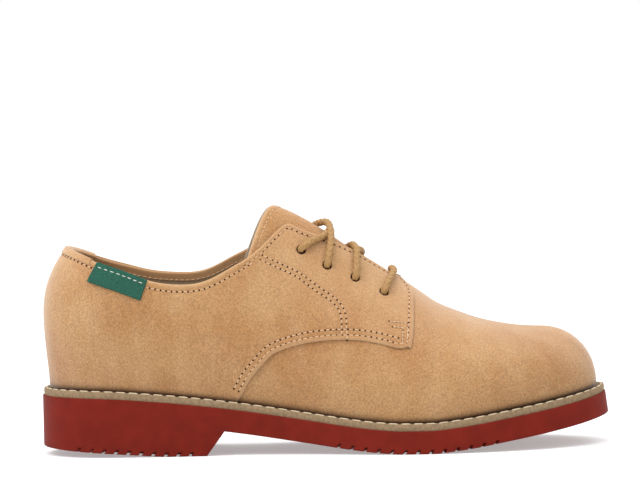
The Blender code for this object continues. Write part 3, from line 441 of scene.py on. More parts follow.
# A point at a distance outside the inner face, measured square to it.
def skin(side, turn, rise, offset):
    turn = np.asarray(turn, float)
    rise = np.asarray(rise, float)
    turn, rise, offset = np.broadcast_arrays(turn, rise, np.asarray(offset, float))
    small = 1e-4
    point = lastPoint(side, turn, rise)
    ahead = lastPoint(side, turn + small, rise) - lastPoint(side, turn - small, rise)
    above = lastPoint(side, turn, rise + small) - lastPoint(side, turn, rise - small)
    normal = np.cross(ahead, above) * -side
    alongX = shareAt(point[..., 0])
    step = 1e-3
    riseAhead = ridgeHeight(alongX + step) - ridgeHeight(alongX - step)
    slope = riseAhead / (2 * step * soleLength)
    upright = np.stack([-slope, np.zeros_like(slope), np.ones_like(slope)], axis=-1)
    atRidge = (rise > 1.0 - 1e-6)[..., None]
    normal = np.where(atRidge, upright, normal)
    normal /= np.maximum(np.linalg.norm(normal, axis=-1, keepdims=True), 1e-12)
    normal[..., 2] *= ease(rise / upperForm["footRise"])
    normal /= np.maximum(np.linalg.norm(normal, axis=-1, keepdims=True), 1e-12)
    moved = point + normal * offset[..., None]
    onWelt = weltTop(moved[..., 0]) - weltTop(point[..., 0])
    moved[..., 2] += onWelt * (1.0 - ease(rise / upperForm["footRise"]))
    return moved


# Half the gap between the flaps, closing in a round end at the throat.
def slotHalf(x):
    throat = upperForm["throat"] - soleLength / 2.0
    top = upperForm["slotTop"] - soleLength / 2.0
    spread = ease((throat - x) / (throat - top))
    front, back = upperForm["slotHalfFront"], upperForm["slotHalfTop"]
    half = front + (back - front) * spread
    intoEnd = np.clip((x - (throat - front)) / front, 0.0, 1.0)
    return half * np.sqrt(1.0 - intoEnd ** 2)


trimSamples = np.linspace(0.0, 1.0, 241)


# For each row, the first sample place where the values rise above zero.
def firstCrossing(values):
    above = values > 0.0
    index = np.where(above.any(axis=1), above.argmax(axis=1), values.shape[1] - 1)
    index = np.maximum(index, 1)
    rows = np.arange(values.shape[0])
    low, high = values[rows, index - 1], values[rows, index]
    share = np.where(high > low, -low / np.maximum(high - low, 1e-12), 1.0)
    share = np.clip(share, 0.0, 1.0)
    step = trimSamples[1] - trimSamples[0]
    return np.where(above.any(axis=1), trimSamples[index - 1] + share * step, 1.0)


# How far up each section the upper goes: to the collar, or to the flap's slot.
def topRise(side, turn):
    turn = np.atleast_1d(np.asarray(turn, float))
    points = lastPoint(side, turn[:, None], trimSamples[None, :])
    overCollar = points[..., 2] - toplineHeight(side, points[..., 0])
    collar = firstCrossing(overCollar)
    ridge = soleForm["ballWidth"] * ridgeSwing(shareAt(points[..., 0]))
    inSlot = slotHalf(points[..., 0]) - np.abs(points[..., 1] - ridge)
    slot = firstCrossing(inSlot)
    throat = upperForm["throat"] / soleLength
    closed = ridgeAlong(turn) >= throat - 1e-9
    behind = ridgeAlong(turn) < upperForm["flapStart"] / soleLength
    slot = np.where(closed | behind, 1.0, slot)
    soft = upperForm["cornerSoftness"]
    meet = -soft * np.log(np.exp(-collar / soft) + np.exp(-slot / soft))
    both = np.where(np.abs(collar - slot) < 12 * soft, meet, np.minimum(collar, slot))
    return np.where(collar >= 1.0, slot, both)


# Share of the length where the section at this turn meets the ridge.
def ridgeAlong(turn):
    return ridgeBackAlong + (ridgeFrontAlong - ridgeBackAlong) * alongOf(turn)


# The turn whose section meets the ridge at the throat.
def throatTurn():
    along = upperForm["throat"] / soleLength
    share = (along - ridgeBackAlong) / (ridgeFrontAlong - ridgeBackAlong)
    return math.acos(1.0 - 2.0 * share) / math.pi


turnSamples = np.sort(np.append(np.linspace(0.0, 1.0, 961), throatTurn()))
topLines = {side: topRise(side, turnSamples) for side in (lateralSide, medialSide)}


# The upper's top rise at any turn, read from the sampled line.
def topOf(side, turn):
    return np.interp(turn, turnSamples, topLines[side])


# The turn whose section passes a place along the shoe at a share of its height.
def turnAt(side, along, up):
    x = soleLength * (along - 0.5)
    line = lastPoint(side, turnSamples, topLines[side] * up)
    return np.interp(x, line[:, 0], turnSamples)


# Mesh tools


# The four corners of each cell of a grid, as rows of vertex numbers.
def cellFaces(rows, columns, start=0):
    corner = (np.arange(rows - 1)[:, None] * columns + np.arange(columns - 1)[None, :] + start).ravel()
    return np.stack([corner, corner + 1, corner + columns + 1, corner + columns], axis=1)


# Quads between two lists of vertex numbers of the same length.
def bandFaces(first, second):
    return np.stack([first[:-1], first[1:], second[1:], second[:-1]], axis=1)


# Vertices and faces of a closed shell between two grids of the same shape.
def shellBetween(outer, inner):
    rows, columns = outer.shape[:2]
    count = rows * columns
    index = np.arange(count).reshape(rows, columns)
    around = np.concatenate([index[0, :-1], index[:-1, -1], index[-1, :0:-1], index[:0:-1, 0]])
    ring = np.append(around, around[0])
    faces = np.concatenate([cellFaces(rows, columns), cellFaces(rows, columns, count)[:, ::-1],
                            bandFaces(ring + count, ring)])
    return np.concatenate([outer.reshape(-1, 3), inner.reshape(-1, 3)]), faces


# One mesh object from vertices and quads, merged at shared points and facing outwards.
def makePiece(name, vertices, faces, materials, marks=None, sharpDeg=40.0, merge=1e-6):
    mesh = bpy.data.meshes.new(name)
    vertices = np.asarray(vertices, float).reshape(-1, 3)
    mesh.vertices.add(len(vertices))
    mesh.vertices.foreach_set("co", vertices.ravel())
    mesh.loops.add(faces.size)
    mesh.loops.foreach_set("vertex_index", faces.ravel())
    mesh.polygons.add(len(faces))
    mesh.polygons.foreach_set("loop_start", np.arange(len(faces)) * faces.shape[1])
    mesh.update(calc_edges=True)
    for key, values in (marks or {}).items():
        layer = mesh.attributes.new(key, "FLOAT", "POINT")
        layer.data.foreach_set("value", np.asarray(values, float).ravel())
    work = bmesh.new()
    work.from_mesh(mesh)
    if merge:
        bmesh.ops.remove_doubles(work, verts=work.verts, dist=merge)
    bmesh.ops.dissolve_degenerate(work, edges=work.edges, dist=1e-8)
    bmesh.ops.recalc_face_normals(work, faces=work.faces)
    work.to_mesh(mesh)
    work.free()
    for material in materials:
        mesh.materials.append(material)
    mesh.shade_smooth()
    mesh.set_sharp_from_angle(angle=math.radians(sharpDeg))
    piece = bpy.data.objects.new(name, mesh)
    bpy.context.scene.collection.objects.link(piece)
    return piece


# Length along a line of points, from its start to each of them.
def pathLength(points):
    return np.concatenate([[0.0], np.cumsum(np.linalg.norm(np.diff(points, axis=0), axis=1))])


# Points at given lengths along a line of points.
def readAt(places, length, points):
    return np.stack([np.interp(places, length, points[:, i]) for i in range(3)], axis=1)


# Vectors scaled to a length of one.
def unit(vectors):
    return vectors / np.linalg.norm(vectors, axis=-1, keepdims=True)


# Distance from each point to the nearest sample, worked out in slices.
def nearest(points, samples):
    flat = points.reshape(-1, 3)
    samples = np.asarray(samples, float)
    own = (samples ** 2).sum(axis=1)
    result = np.empty(len(flat))
    for start in range(0, len(flat), 4000):
        part = flat[start:start + 4000]
        squares = (part ** 2).sum(axis=1)[:, None] + own[None, :] - 2.0 * part @ samples.T
        result[start:start + 4000] = np.sqrt(np.maximum(squares.min(axis=1), 0.0))
    return result.reshape(points.shape[:-1])


# Cuts one piece out of another and keeps the result.
def cutOut(target, cutter):
    modifier = target.modifiers.new("cut", "BOOLEAN")
    modifier.operation = "DIFFERENCE"
    modifier.solver = "EXACT"
    modifier.object = cutter
    graph = bpy.context.evaluated_depsgraph_get()
    mesh = bpy.data.meshes.new_from_object(target.evaluated_get(graph))
    target.modifiers.clear()
    target.data = mesh
    bpy.data.objects.remove(cutter)


# Many small rounded threads, or dark discs of painted shade for stitch holes, in one mesh: x is along, y
# across and z up.
def beads(centres, along, up, length, width, height, square=0.75):
    turnsLong = np.linspace(0.0, math.pi, 9)
    turnsRound = np.linspace(0.0, 2.0 * math.pi, 9)
    x = np.sign(np.cos(turnsLong)) * np.abs(np.cos(turnsLong)) ** square
    ring = np.sin(turnsLong) ** square
    across = unit(np.cross(up, along))
    local = np.stack([np.repeat(x[:, None], 9, axis=1) * length / 2.0,
                      ring[:, None] * np.cos(turnsRound)[None, :] * width / 2.0,
                      ring[:, None] * np.sin(turnsRound)[None, :] * height / 2.0], axis=-1)
    axes = np.stack([along, across, up], axis=1)
    points = centres[:, None, None, :] + np.einsum("ijk,nkl->nijl", local, axes)
    cells = cellFaces(9, 9)
    faces = (np.arange(len(centres))[:, None, None] * 81 + cells[None]).reshape(-1, 4)
    return points.reshape(-1, 3), faces


# Material tools


# A material with its shader, and small helpers to add and join nodes.
class Finish:
    def __init__(self, name, roughness=0.8):
        self.material = bpy.data.materials.new(name)
        self.material.use_nodes = True
        self.tree = self.material.node_tree
        self.shader = self.tree.nodes["Principled BSDF"]
        self.shader.inputs["Roughness"].default_value = roughness
        self.place = self.tree.nodes.new("ShaderNodeTexCoord").outputs["Object"]

    # Adds a node and sets or joins its inputs by name.
    def node(self, kind, inputs=None, **settings):
        node = self.tree.nodes.new(kind)
        for key, value in settings.items():
            setattr(node, key, value)
        for key, value in (inputs or {}).items():
            self.put(node.inputs[key], value)
        return node

    # Joins a socket to another one, or sets its value.
    def put(self, socket, value):
        if isinstance(value, bpy.types.NodeSocket):
            self.tree.links.new(value, socket)
        else:
            socket.default_value = value

    # A noise of the place on the piece, with so many waves a metre.
    def noise(self, scale, detail=3.0, rough=0.5, stretch=None):
        place = self.place
        if stretch is not None:
            place = self.node("ShaderNodeMapping", {"Vector": place, "Scale": stretch}).outputs["Vector"]
        return self.node("ShaderNodeTexNoise", {"Vector": place, "Scale": scale, "Detail": detail,
                                                "Roughness": rough}).outputs["Fac"]

    # One sum, product or other operation on two values.
    def math(self, operation, first, second=0.0):
        node = self.node("ShaderNodeMath", operation=operation)
        self.put(node.inputs[0], first)
        self.put(node.inputs[1], second)
        return node.outputs[0]

    # Maps a value from one range to another, clamped.
    def span(self, value, low, high, toLow=0.0, toHigh=1.0):
        return self.node("ShaderNodeMapRange", {"Value": value, "From Min": low, "From Max": high,
                                                "To Min": toLow, "To Max": toHigh}).outputs["Result"]

    # The first colour where the share is 0 and the second where it is 1.
    def mix(self, share, first, second):
        node = self.node("ShaderNodeMix", data_type="RGBA")
        self.put(node.inputs["Factor"], share)
        self.put(node.inputs[6], first)
        self.put(node.inputs[7], second)
        return node.outputs[2]

    # A value stored at the mesh's vertices.
    def mark(self, name):
        return self.node("ShaderNodeAttribute", attribute_name=name).outputs["Fac"]

    def colour(self, value):
        self.put(self.shader.inputs["Base Color"], value)

    # A normal tilted by a height, on top of another bump where one is given.
    def bump(self, height, distance, strength=1.0, before=None):
        inputs = {"Height": height, "Distance": distance, "Strength": strength}
        if before is not None:
            inputs["Normal"] = before
        return self.node("ShaderNodeBump", inputs).outputs["Normal"]

    def normal(self, value):
        self.put(self.shader.inputs["Normal"], value)

    def sheen(self, weight, roughness, tint):
        self.shader.inputs["Sheen Weight"].default_value = weight
        self.shader.inputs["Sheen Roughness"].default_value = roughness
        self.shader.inputs["Sheen Tint"].default_value = tint


suedeLook = {
    "base": (0.436, 0.240, 0.101, 1.0),
    "pale": (0.550, 0.352, 0.192, 1.0),
    "deep": (0.368, 0.174, 0.066, 1.0),
    # painted highlight: the paler, pinker colour painted on the heel's back
    "heelHighlight": (0.500, 0.325, 0.205, 1.0),
    # painted shadow colour for the line where the upper meets the welt
    "foot": (0.040, 0.015, 0.005, 1.0),
    "patchScale": 26.0,
    "brushScale": 90.0,
    "brushShare": 0.34,
    "grainScale": 1250.0,
    "grainDark": 0.70,
    "grainLight": 1.24,
    # where along X the heel's painted highlight fades in, and how much of it is mixed in
    "heelHighlightFrom": -0.088,
    "heelHighlightTo": -0.128,
    "heelHighlightShare": 0.22,
    # how much of the painted highlight along edges and on upward faces is mixed in
    "edgeHighlightShare": 0.45,
    "seamShare": 0.30,
    "sheen": 0.45,
}


# Suede: mottled nap with a fine grain and darker in seams, with painted highlights that make it paler along
# edges, on upward faces and at the heel's back, and a painted shadow near the welt.
def suedeFinish(name, look):
    finish = Finish(name, 0.92)
    broad = finish.span(finish.noise(look["patchScale"], 2.0), 0.35, 0.65)
    brushed = finish.span(finish.noise(look["brushScale"], 3.0, 0.6, (1.0, 1.0, 0.45)), 0.32, 0.68)
    grain = finish.span(finish.noise(look["grainScale"], 4.0, 0.75), 0.36, 0.64)
    colour = finish.mix(broad, look["deep"], look["base"])
    colour = finish.mix(finish.math("MULTIPLY", brushed, look["brushShare"]), colour, look["pale"])
    along = finish.node("ShaderNodeSeparateXYZ", {"Vector": finish.place}).outputs["X"]
    # Painted highlight: the heel's back is painted paler and pinker, in noisy patches.
    back = finish.span(along, look["heelHighlightFrom"], look["heelHighlightTo"])
    heelHighlight = finish.math("MULTIPLY", back, finish.span(finish.noise(60.0), 0.2, 0.7))
    colour = finish.mix(finish.math("MULTIPLY", heelHighlight, look["heelHighlightShare"]), colour, look["heelHighlight"])
    dark = finish.node("ShaderNodeHueSaturation", {"Color": colour, "Value": look["grainDark"]})
    light = finish.node("ShaderNodeHueSaturation", {"Color": colour, "Value": look["grainLight"]})
    colour = finish.mix(grain, dark.outputs["Color"], light.outputs["Color"])
    # Painted highlight: paler along the edges and on upward faces, from the edge mark.
    edge = finish.math("MULTIPLY", finish.mark("edge"), look["edgeHighlightShare"])
    colour = finish.mix(edge, colour, look["pale"])
    seam = finish.math("MULTIPLY", finish.mark("seam"), look["seamShare"])
    colour = finish.mix(seam, colour, look["deep"])
    # Painted shade: a dark line of painted shadow where the upper meets the welt, and a faint painted
    # darkening towards the bottom.
    colour = finish.mix(finish.mark("foot"), colour, look["foot"])
    inside = finish.mark("inside")
    lined = finish.mix(finish.noise(300.0), (0.30, 0.235, 0.165, 1.0), (0.42, 0.335, 0.245, 1.0))
    finish.colour(finish.mix(inside, colour, lined))
    soft = finish.bump(finish.noise(620.0, 3.0, 0.6), 0.0005, 0.45)
    finish.normal(finish.bump(finish.noise(2400.0, 2.0, 0.6), 0.00025, 0.45, soft))
    finish.shader.inputs["Specular IOR Level"].default_value = 0.15
    finish.sheen(look["sheen"], 0.45, (1.0, 0.95, 0.90, 1.0))
    return finish.material


# One flat colour with a slight mottle and a fine bump.
def plainFinish(name, colour, roughness, mottle=0.10, scale=400.0, bumpScale=1500.0, depth=0.0001,
                specular=0.3):
    finish = Finish(name, roughness)
    low = tuple(c * (1.0 - mottle) for c in colour[:3]) + (1.0,)
    high = tuple(min(c * (1.0 + mottle), 1.0) for c in colour[:3]) + (1.0,)
    finish.colour(finish.mix(finish.span(finish.noise(scale), 0.35, 0.65), low, high))
    finish.normal(finish.bump(finish.noise(bumpScale), depth, 0.5))
    finish.shader.inputs["Specular IOR Level"].default_value = specular
    return finish.material


# The lining's cloth, with a folded suede rim and a dark line under it.
def liningFinish():
    finish = Finish("lining", 0.85)
    cloth = finish.mix(finish.noise(500.0), (0.350, 0.250, 0.155, 1.0), (0.430, 0.315, 0.205, 1.0))
    rim = finish.mix(finish.noise(900.0), (0.360, 0.195, 0.085, 1.0), (0.450, 0.265, 0.135, 1.0))
    colour = finish.mix(finish.mark("edge"), cloth, rim)
    line = finish.math("MULTIPLY", finish.mark("seam"), 0.6)
    finish.colour(finish.mix(line, colour, (0.110, 0.065, 0.035, 1.0)))
    finish.normal(finish.bump(finish.noise(1800.0), 0.0001, 0.5))
    finish.shader.inputs["Specular IOR Level"].default_value = 0.12
    finish.sheen(0.3, 0.5, (1.0, 0.9, 0.8, 1.0))
    return finish.material


print("finishes")
suede = suedeFinish("suede", suedeLook)
lining = liningFinish()
insoleFinish = plainFinish("insoleFinish", (0.520, 0.410, 0.280), 0.7, 0.06)
weltFinish = plainFinish("weltFinish", (0.240, 0.165, 0.095), 0.8, 0.16, 700.0, 1800.0, 0.00012, 0.15)
rubber = plainFinish("rubber", (0.150, 0.011, 0.005), 0.6, 0.10, 120.0, 1600.0, 0.00006, 0.10)
thread = plainFinish("thread", (0.540, 0.350, 0.210), 0.75, 0.12, 900.0, 3000.0, 0.00008)
weltThread = plainFinish("weltThread", (0.600, 0.480, 0.330), 0.75, 0.10, 900.0, 3000.0, 0.00010)
# Painted shade: dark discs and bars stand in for the shade inside stitch holes and eyelet holes.
holeShade = plainFinish("holeShade", (0.050, 0.018, 0.007), 0.95, 0.2, specular=0.05)
whiteThread = plainFinish("whiteThread", (0.55, 0.56, 0.50), 0.75, 0.05)


# Upper


upperSizes = {
    "shellGap": 0.00005,
    "edgeRadius": 0.0010,
    "seamDepth": 0.00022,
    "heelSeamDepth": 0.0003,
    "puff": 0.0002,
    # how far the vamp goes on under the quarter, as a share of its own reach
    "vampLap": 0.030,
    # mesh columns and rows
    "columns": 210,
    "vampColumns": 170,
    "slotColumns": 8,
    "rows": (64, 42),
    # finer mesh steps before an edge, as shares of the last step
    "edgeSteps": (0.35, 0.62, 0.80, 0.91, 0.97),
}
liningSizes = {
    "thickness": 0.0017,
    # how far forward it goes, as a share of the quarter's way
    "reach": 0.965,
    "topRadius": 0.0009,
    "rim": 0.0042,
    "rimLine": 0.0046,
}
eyeletHoles = {
    "radius": 0.00235,
    "places": (
        # share of the sole's length, distance under the flap's top edge
        (0.4590, 0.0102),
        (0.5040, 0.0140),
        (0.5520, 0.0154),
        (0.6020, 0.0166),
    ),
}
stitching = {
    # how far each row lies inside the edge that it follows
    "edgeIn": (0.0021, 0.0048),
    "flapIn": 0.0022,
    "flapTopIn": 0.0023,
    "collarIn": 0.0034,
    "facingGap": 0.0023,
    "pitch": 0.0027,
    "finePitch": 0.0026,
    "barPitch": 0.0017,
    # where the collar's row ends and the flap's row starts, along X
    "collarEnds": -0.0345,
    "flapStarts": -0.0400,
    # length, width, height and roundness of one thread and of one dark disc of painted shade for a stitch
    # hole
    "thread": (0.0019, 0.00058, 0.00050, 0.75),
    "holeShade": (0.00110, 0.00100, 0.00026, 1.0),
    # facing seam, as x and z on the lateral side
    "facing": ((-0.0301, 0.0934), (-0.0194, 0.0881), (-0.0122, 0.0844), (-0.0016, 0.0765),
               (0.0055, 0.0713), (0.0090, 0.0665), (0.0102, 0.0578), (0.0104, 0.0520)),
    # reinforcing rows at the flap's foot, each from one x and z to another
    "bars": (((0.0295, 0.0602), (0.0386, 0.0589)), ((0.0312, 0.0577), (0.0365, 0.0568)),
             ((0.0366, 0.0562), (0.0364, 0.0500)), ((0.0388, 0.0578), (0.0384, 0.0498))),
}


# The quarter's edge over the vamp, from the welt to its lower front corner.
# up is a share of the way from the welt to the top edge, and back and front say
# where the mesh rows that leave it meet the back seam and the toe's centre line.
quarterEdgeTable = (
    # along, up, back, front
    (0.345, 0.000, 0.000, 0.000),
    (0.357, 0.079, 0.100, 0.040),
    (0.370, 0.146, 0.200, 0.070),
    (0.400, 0.209, 0.300, 0.100),
    (0.436, 0.263, 0.400, 0.130),
    (0.484, 0.314, 0.500, 0.170),
    (0.546, 0.367, 0.610, 0.220),
    (0.600, 0.398, 0.700, 0.270),
    (0.649, 0.392, 0.770, 0.310),
)
# The flap's front edge, from that corner up and round to the end of the slot.
flapEdgeTable = (
    # along, up, back, front
    (0.649, 0.392, 0.770, 0.310),
    (0.6525, 0.480, 0.830, 0.450),
    (0.6535, 0.637, 0.890, 0.630),
    (0.6525, 0.788, 0.940, 0.780),
    (0.6475, 0.880, 0.965, 0.870),
    (0.637, 0.935, 0.980, 0.930),
    (0.622, 1.000, 1.000, 1.000),
)
edgeHeightWeight = 0.30


# A slow, shallow swell of the leather, so that no large face is dead even.
def waver(points):
    x, y, z = points[..., 0], points[..., 1], points[..., 2]
    broad = np.sin(71.0 * x + 43.0 * z + 0.6) * np.sin(97.0 * z - 38.0 * x + 55.0 * y + 1.9)
    fine = np.sin(190.0 * x - 120.0 * z + 2.2) * np.sin(160.0 * z + 90.0 * x + 80.0 * y + 0.4)
    return 0.00016 * broad + 0.00006 * fine


# Turn and share-of-height rows where the quarter's edge meets the vamp, welt to slot.
def quarterEdgeRows(side):
    parts = []
    for table, count in zip((quarterEdgeTable, flapEdgeTable), upperSizes["rows"]):
        along, up = column(table, 0), column(table, 1)
        steps = np.hypot(np.diff(along), np.diff(up) * edgeHeightWeight)
        length = np.concatenate([[0.0], np.cumsum(steps)])
        place = np.linspace(0.0, length[-1], count + 1)
        rows = np.stack([springLine(length, column(table, i))(place) for i in range(2)]
                        + [steadyLine(length, column(table, i))(place) for i in (2, 3)], axis=1)
        parts.append(rows if not parts else rows[1:])
    rows = np.concatenate(parts)
    turns = np.array([turnAt(side, row[0], row[1]) for row in rows])
    rows = np.column_stack([turns, rows[:, 1:]])
    last = len(rows) - 1.0
    places = np.concatenate([np.arange(last), last - 1.0 + np.array(upperSizes["edgeSteps"]), [last]])
    return np.column_stack([np.interp(places, np.arange(len(rows)), rows[:, i]) for i in range(4)])


# Shares from 0 to 1 in even steps with finer steps before the end.
def refinedShares(count):
    shares = np.linspace(0.0, 1.0, count + 1)
    return np.concatenate([shares[:-1], 1.0 - (1.0 - np.array(upperSizes["edgeSteps"])) / count, [1.0]])


# Turn and rise of the quarter's grid on one side.
def quarterGrid(side, rows):
    share = refinedShares(upperSizes["columns"])[None, :]
    turn = rows[:, :1] * share
    up = rows[:, 2:3] * (1 - share) + rows[:, 1:2] * share
    return turn, topOf(side, turn) * up


# Turn and rise of the vamp's grid on one side, with its lap under the quarter.
def vampGrid(side, rows):
    throat = throatTurn()
    end = rows[-1, 0]
    slotColumns = upperSizes["slotColumns"]
    turns = np.concatenate([np.linspace(end, throat, slotColumns + 1),
                            np.linspace(throat, 1.0, upperSizes["vampColumns"] - slotColumns + 1)[1:]])
    share = (turns - end) / (1.0 - end)
    share = np.concatenate([np.linspace(-upperSizes["vampLap"], 0.0, 6)[:-1], share])[None, :]
    turn = rows[:, :1] * (1 - share) + share
    up = rows[:, 1:2] * (1 - share) + rows[:, 3:4] * share
    up = np.where(share < 0.0, rows[:, 1:2], up)
    return turn, topOf(side, turn) * np.minimum(up, 1.0)


# Moves places on one side's surface by a way in space, given as a vector for each.
def slide(side, turn, rise, way):
    small = 1e-4
    ahead = (lastPoint(side, turn + small, rise) - lastPoint(side, turn - small, rise)) / (2 * small)
    above = (lastPoint(side, turn, rise + small) - lastPoint(side, turn, rise - small)) / (2 * small)
    aa, bb = (ahead ** 2).sum(-1), (above ** 2).sum(-1)
    ab = (ahead * above).sum(-1)
    a, b = (ahead * way).sum(-1), (above * way).sum(-1)
    under = np.maximum(aa * bb - ab * ab, 1e-18)
    return turn + (a * bb - b * ab) / under, rise + (b * aa - a * ab) / under


# A line on the surface that keeps a distance inside another one. inward is 1 or -1.
def lineInside(side, turn, rise, distance, inward):
    for part in range(4):
        points = lastPoint(side, turn, rise)
        tangent = unit(np.gradient(points, axis=0))
        face = unit(skin(side, turn, rise, 0.001) - points)
        way = np.cross(face, tangent) * inward * distance / 4.0
        turn, rise = slide(side, turn, rise, way)
    return turn, rise


# Turn and rise of the places with given x and z on one side, found step by step.
def placesAt(side, x, z, turnGuess=0.5, riseGuess=0.5):
    turn, rise = np.full(len(x), turnGuess), np.full(len(x), riseGuess)
    for step in range(30):
        small = 1e-4
        here = lastPoint(side, turn, rise)
        dTurn = (lastPoint(side, turn + small, rise) - here) / small
        dRise = (lastPoint(side, turn, rise + small) - here) / small
        missX, missZ = x - here[:, 0], z - here[:, 2]
        under = dTurn[:, 0] * dRise[:, 2] - dTurn[:, 2] * dRise[:, 0]
        turn = turn + np.clip((missX * dRise[:, 2] - missZ * dRise[:, 0]) / under, -0.05, 0.05)
        rise = rise + np.clip((missZ * dTurn[:, 0] - missX * dTurn[:, 2]) / under, -0.05, 0.05)
        turn, rise = np.clip(turn, 0.02, 0.98), np.clip(rise, 0.02, 0.98)
    return turn, rise


# Points at even steps along a line of turns and rises, with the way along and the way out.
def evenPlaces(side, turn, rise, pitch, offset, start=0.5, closeEnd=0.25):
    points = lastPoint(side, turn, rise)
    length = pathLength(points)
    count = max(int((length[-1] / pitch) - start - closeEnd) + 1, 1)
    places = (np.arange(count) + start) * pitch
    t, r = np.interp(places, length, turn), np.interp(places, length, rise)
    base = lastPoint(side, t, r)
    up = unit(skin(side, t, r, 0.002) - base)
    ahead = readAt(places + 0.0004, length, points) - readAt(places - 0.0004, length, points)
    ahead = unit(ahead - up * (ahead * up).sum(-1, keepdims=True))
    centres = skin(side, t, r, offset) + up * waver(base)[:, None]
    return centres, ahead, up


rows, grids, edges = {}, {}, {}
for side in (lateralSide, medialSide):
    rows[side] = quarterEdgeRows(side)
    turn, rise = quarterGrid(side, rows[side])
    grids[side] = (turn, rise)
    edges[side] = {
        "front": (turn[:, -1], rise[:, -1]),
        "top": (turn[-1], rise[-1]),
    }

# Stitch rows of each side: side, turns, rises and pitch.
facingX = column(stitching["facing"], 0)
facingZ = column(stitching["facing"], 1)
steps = np.concatenate([[0.0], np.cumsum(np.hypot(np.diff(facingX), np.diff(facingZ)))])
fineSteps = np.linspace(0.0, steps[-1], 60)
facingTurn, facingRise = placesAt(lateralSide, springLine(steps, facingX)(fineSteps),
                                  springLine(steps, facingZ)(fineSteps))
facingUp = facingRise / topOf(lateralSide, facingTurn)
stitchRows, innerRows = [], []
for side in (lateralSide, medialSide):
    turn, rise = edges[side]["front"]
    corner = upperSizes["rows"][0]
    lower = slice(2, corner + 1)
    flap = slice(corner, len(turn) - len(upperSizes["edgeSteps"]))
    for distance in stitching["edgeIn"]:
        t, r = lineInside(side, turn[lower], rise[lower], distance, -side)
        keep = slice(1, -3 if distance > 0.003 else -2)
        stitchRows.append((side, t[keep], r[keep], stitching["pitch"]))
    t, r = lineInside(side, turn[flap], rise[flap], stitching["flapIn"], -side)
    stitchRows.append((side, t[3:], r[3:], stitching["pitch"]))
    turn, rise = edges[side]["top"]
    x = lastPoint(side, turn, rise)[:, 0]
    collar = slice(2, int(np.searchsorted(x, stitching["collarEnds"])))
    t, r = lineInside(side, turn[collar], rise[collar], stitching["collarIn"], side)
    stitchRows.append((side, t, r, stitching["finePitch"]))
    innerRows.append((side, t, r, stitching["finePitch"]))
    upperFlap = slice(int(np.searchsorted(x, stitching["flapStarts"])), len(turn) - 4)
    t, r = lineInside(side, turn[upperFlap], rise[upperFlap], stitching["flapTopIn"], side)
    stitchRows.append((side, t, r, stitching["pitch"]))
    t = facingTurn
    r = facingUp * topOf(side, facingTurn)
    stitchRows.append((side, t, r, stitching["finePitch"]))
    t, r = lineInside(side, t, r, stitching["facingGap"], side)
    stitchRows.append((side, t[:-3], r[:-3], stitching["finePitch"]))
    for first, last in stitching["bars"]:
        way = np.linspace(0.0, 1.0, 12)
        barTurn, barRise = placesAt(lateralSide, first[0] * (1 - way) + last[0] * way,
                                    first[1] * (1 - way) + last[1] * way)
        up = barRise / topOf(lateralSide, barTurn)
        stitchRows.append((side, barTurn, up * topOf(side, barTurn), stitching["barPitch"]))

seamPoints = {side: np.concatenate([lastPoint(s, t, r) for s, t, r, pitch in stitchRows if s == side])
              for side in (lateralSide, medialSide)}


# A rounded border: 0 at the very edge, 1 from a radius inwards.
def rounded(distance, radius):
    share = np.clip(1.0 - distance / radius, 0.0, 1.0)
    return np.sqrt(1.0 - share ** 2)


# Painted shade near the welt: a thin dark line of painted shadow where the upper meets the welt, with a
# wide faint painted darkening above it that fades upwards.
def weltShadeMark(points):
    height = points[..., 2] - weltTop(points[..., 0])
    height = np.clip(height, 0.0, 1.0)
    return 0.86 * np.exp(-(height / 0.0020) ** 2) + 0.25 * np.exp(-height / 0.024)


# Painted highlight: the nap is painted paler where the upper faces the sky, as if lit from above.
def topHighlightMark(rise):
    return 0.75 * np.clip((rise - 0.35) / 0.45, 0.0, 1.0)


# Places of the eyelet holes on one side of the upper, as a turn and a rise for each.
def eyeletPlaces(side):
    turns = np.linspace(0.30, 0.75, 181)
    tops = topOf(side, turns)
    places = []
    for share, inset in eyeletHoles["places"]:
        rises = walkDown(side, turns, tops, inset)
        line = lastPoint(side, turns, rises)[:, 0] + soleLength / 2.0
        turn = float(np.interp(share * soleLength, line, turns))
        places.append((turn, float(np.interp(turn, turns, rises))))
    return places


# How far up a section a point lies that is a distance down its face from a start.
def walkDown(side, turn, startRise, distance):
    turn, startRise, distance = np.broadcast_arrays(turn, startRise, distance)
    shares = np.linspace(0.0, 1.0, 121)
    rises = startRise[..., None] * (1.0 - shares)
    points = lastPoint(side, turn[..., None], rises)
    steps = np.linalg.norm(np.diff(points, axis=-2), axis=-1)
    length = np.concatenate([np.zeros(turn.shape + (1,)), np.cumsum(steps, axis=-1)], axis=-1)
    index = np.clip((length < distance[..., None]).sum(-1), 1, len(shares) - 1)[..., None]
    low = np.take_along_axis(length, index - 1, -1)[..., 0]
    high = np.take_along_axis(length, index, -1)[..., 0]
    before = np.take_along_axis(rises, index - 1, -1)[..., 0]
    after = np.take_along_axis(rises, index, -1)[..., 0]
    return before + (after - before) * np.clip((distance - low) / np.maximum(high - low, 1e-12), 0.0, 1.0)


# Round bars as one cutter, each from a start to an end.
def barCutter(name, starts, ends, radius, material, sides=28):
    vertices, faces = [], []
    angles = np.linspace(0.0, 2.0 * math.pi, sides + 1)
    for number, (start, end) in enumerate(zip(starts, ends)):
        axis = unit(end - start)
        across = unit(np.cross(axis, (0.0, 1.0, 0.0)))
        other = np.cross(axis, across)
        circle = (np.cos(angles)[:, None] * across + np.sin(angles)[:, None] * other) * radius
        grid = np.stack([start + circle * 1e-3, start + circle, end + circle, end + circle * 1e-3])
        vertices.append(grid.reshape(-1, 3))
        faces.append(cellFaces(4, sides + 1, number * 4 * (sides + 1)))
    return makePiece(name, np.concatenate(vertices), np.concatenate(faces), [material], merge=4e-6)


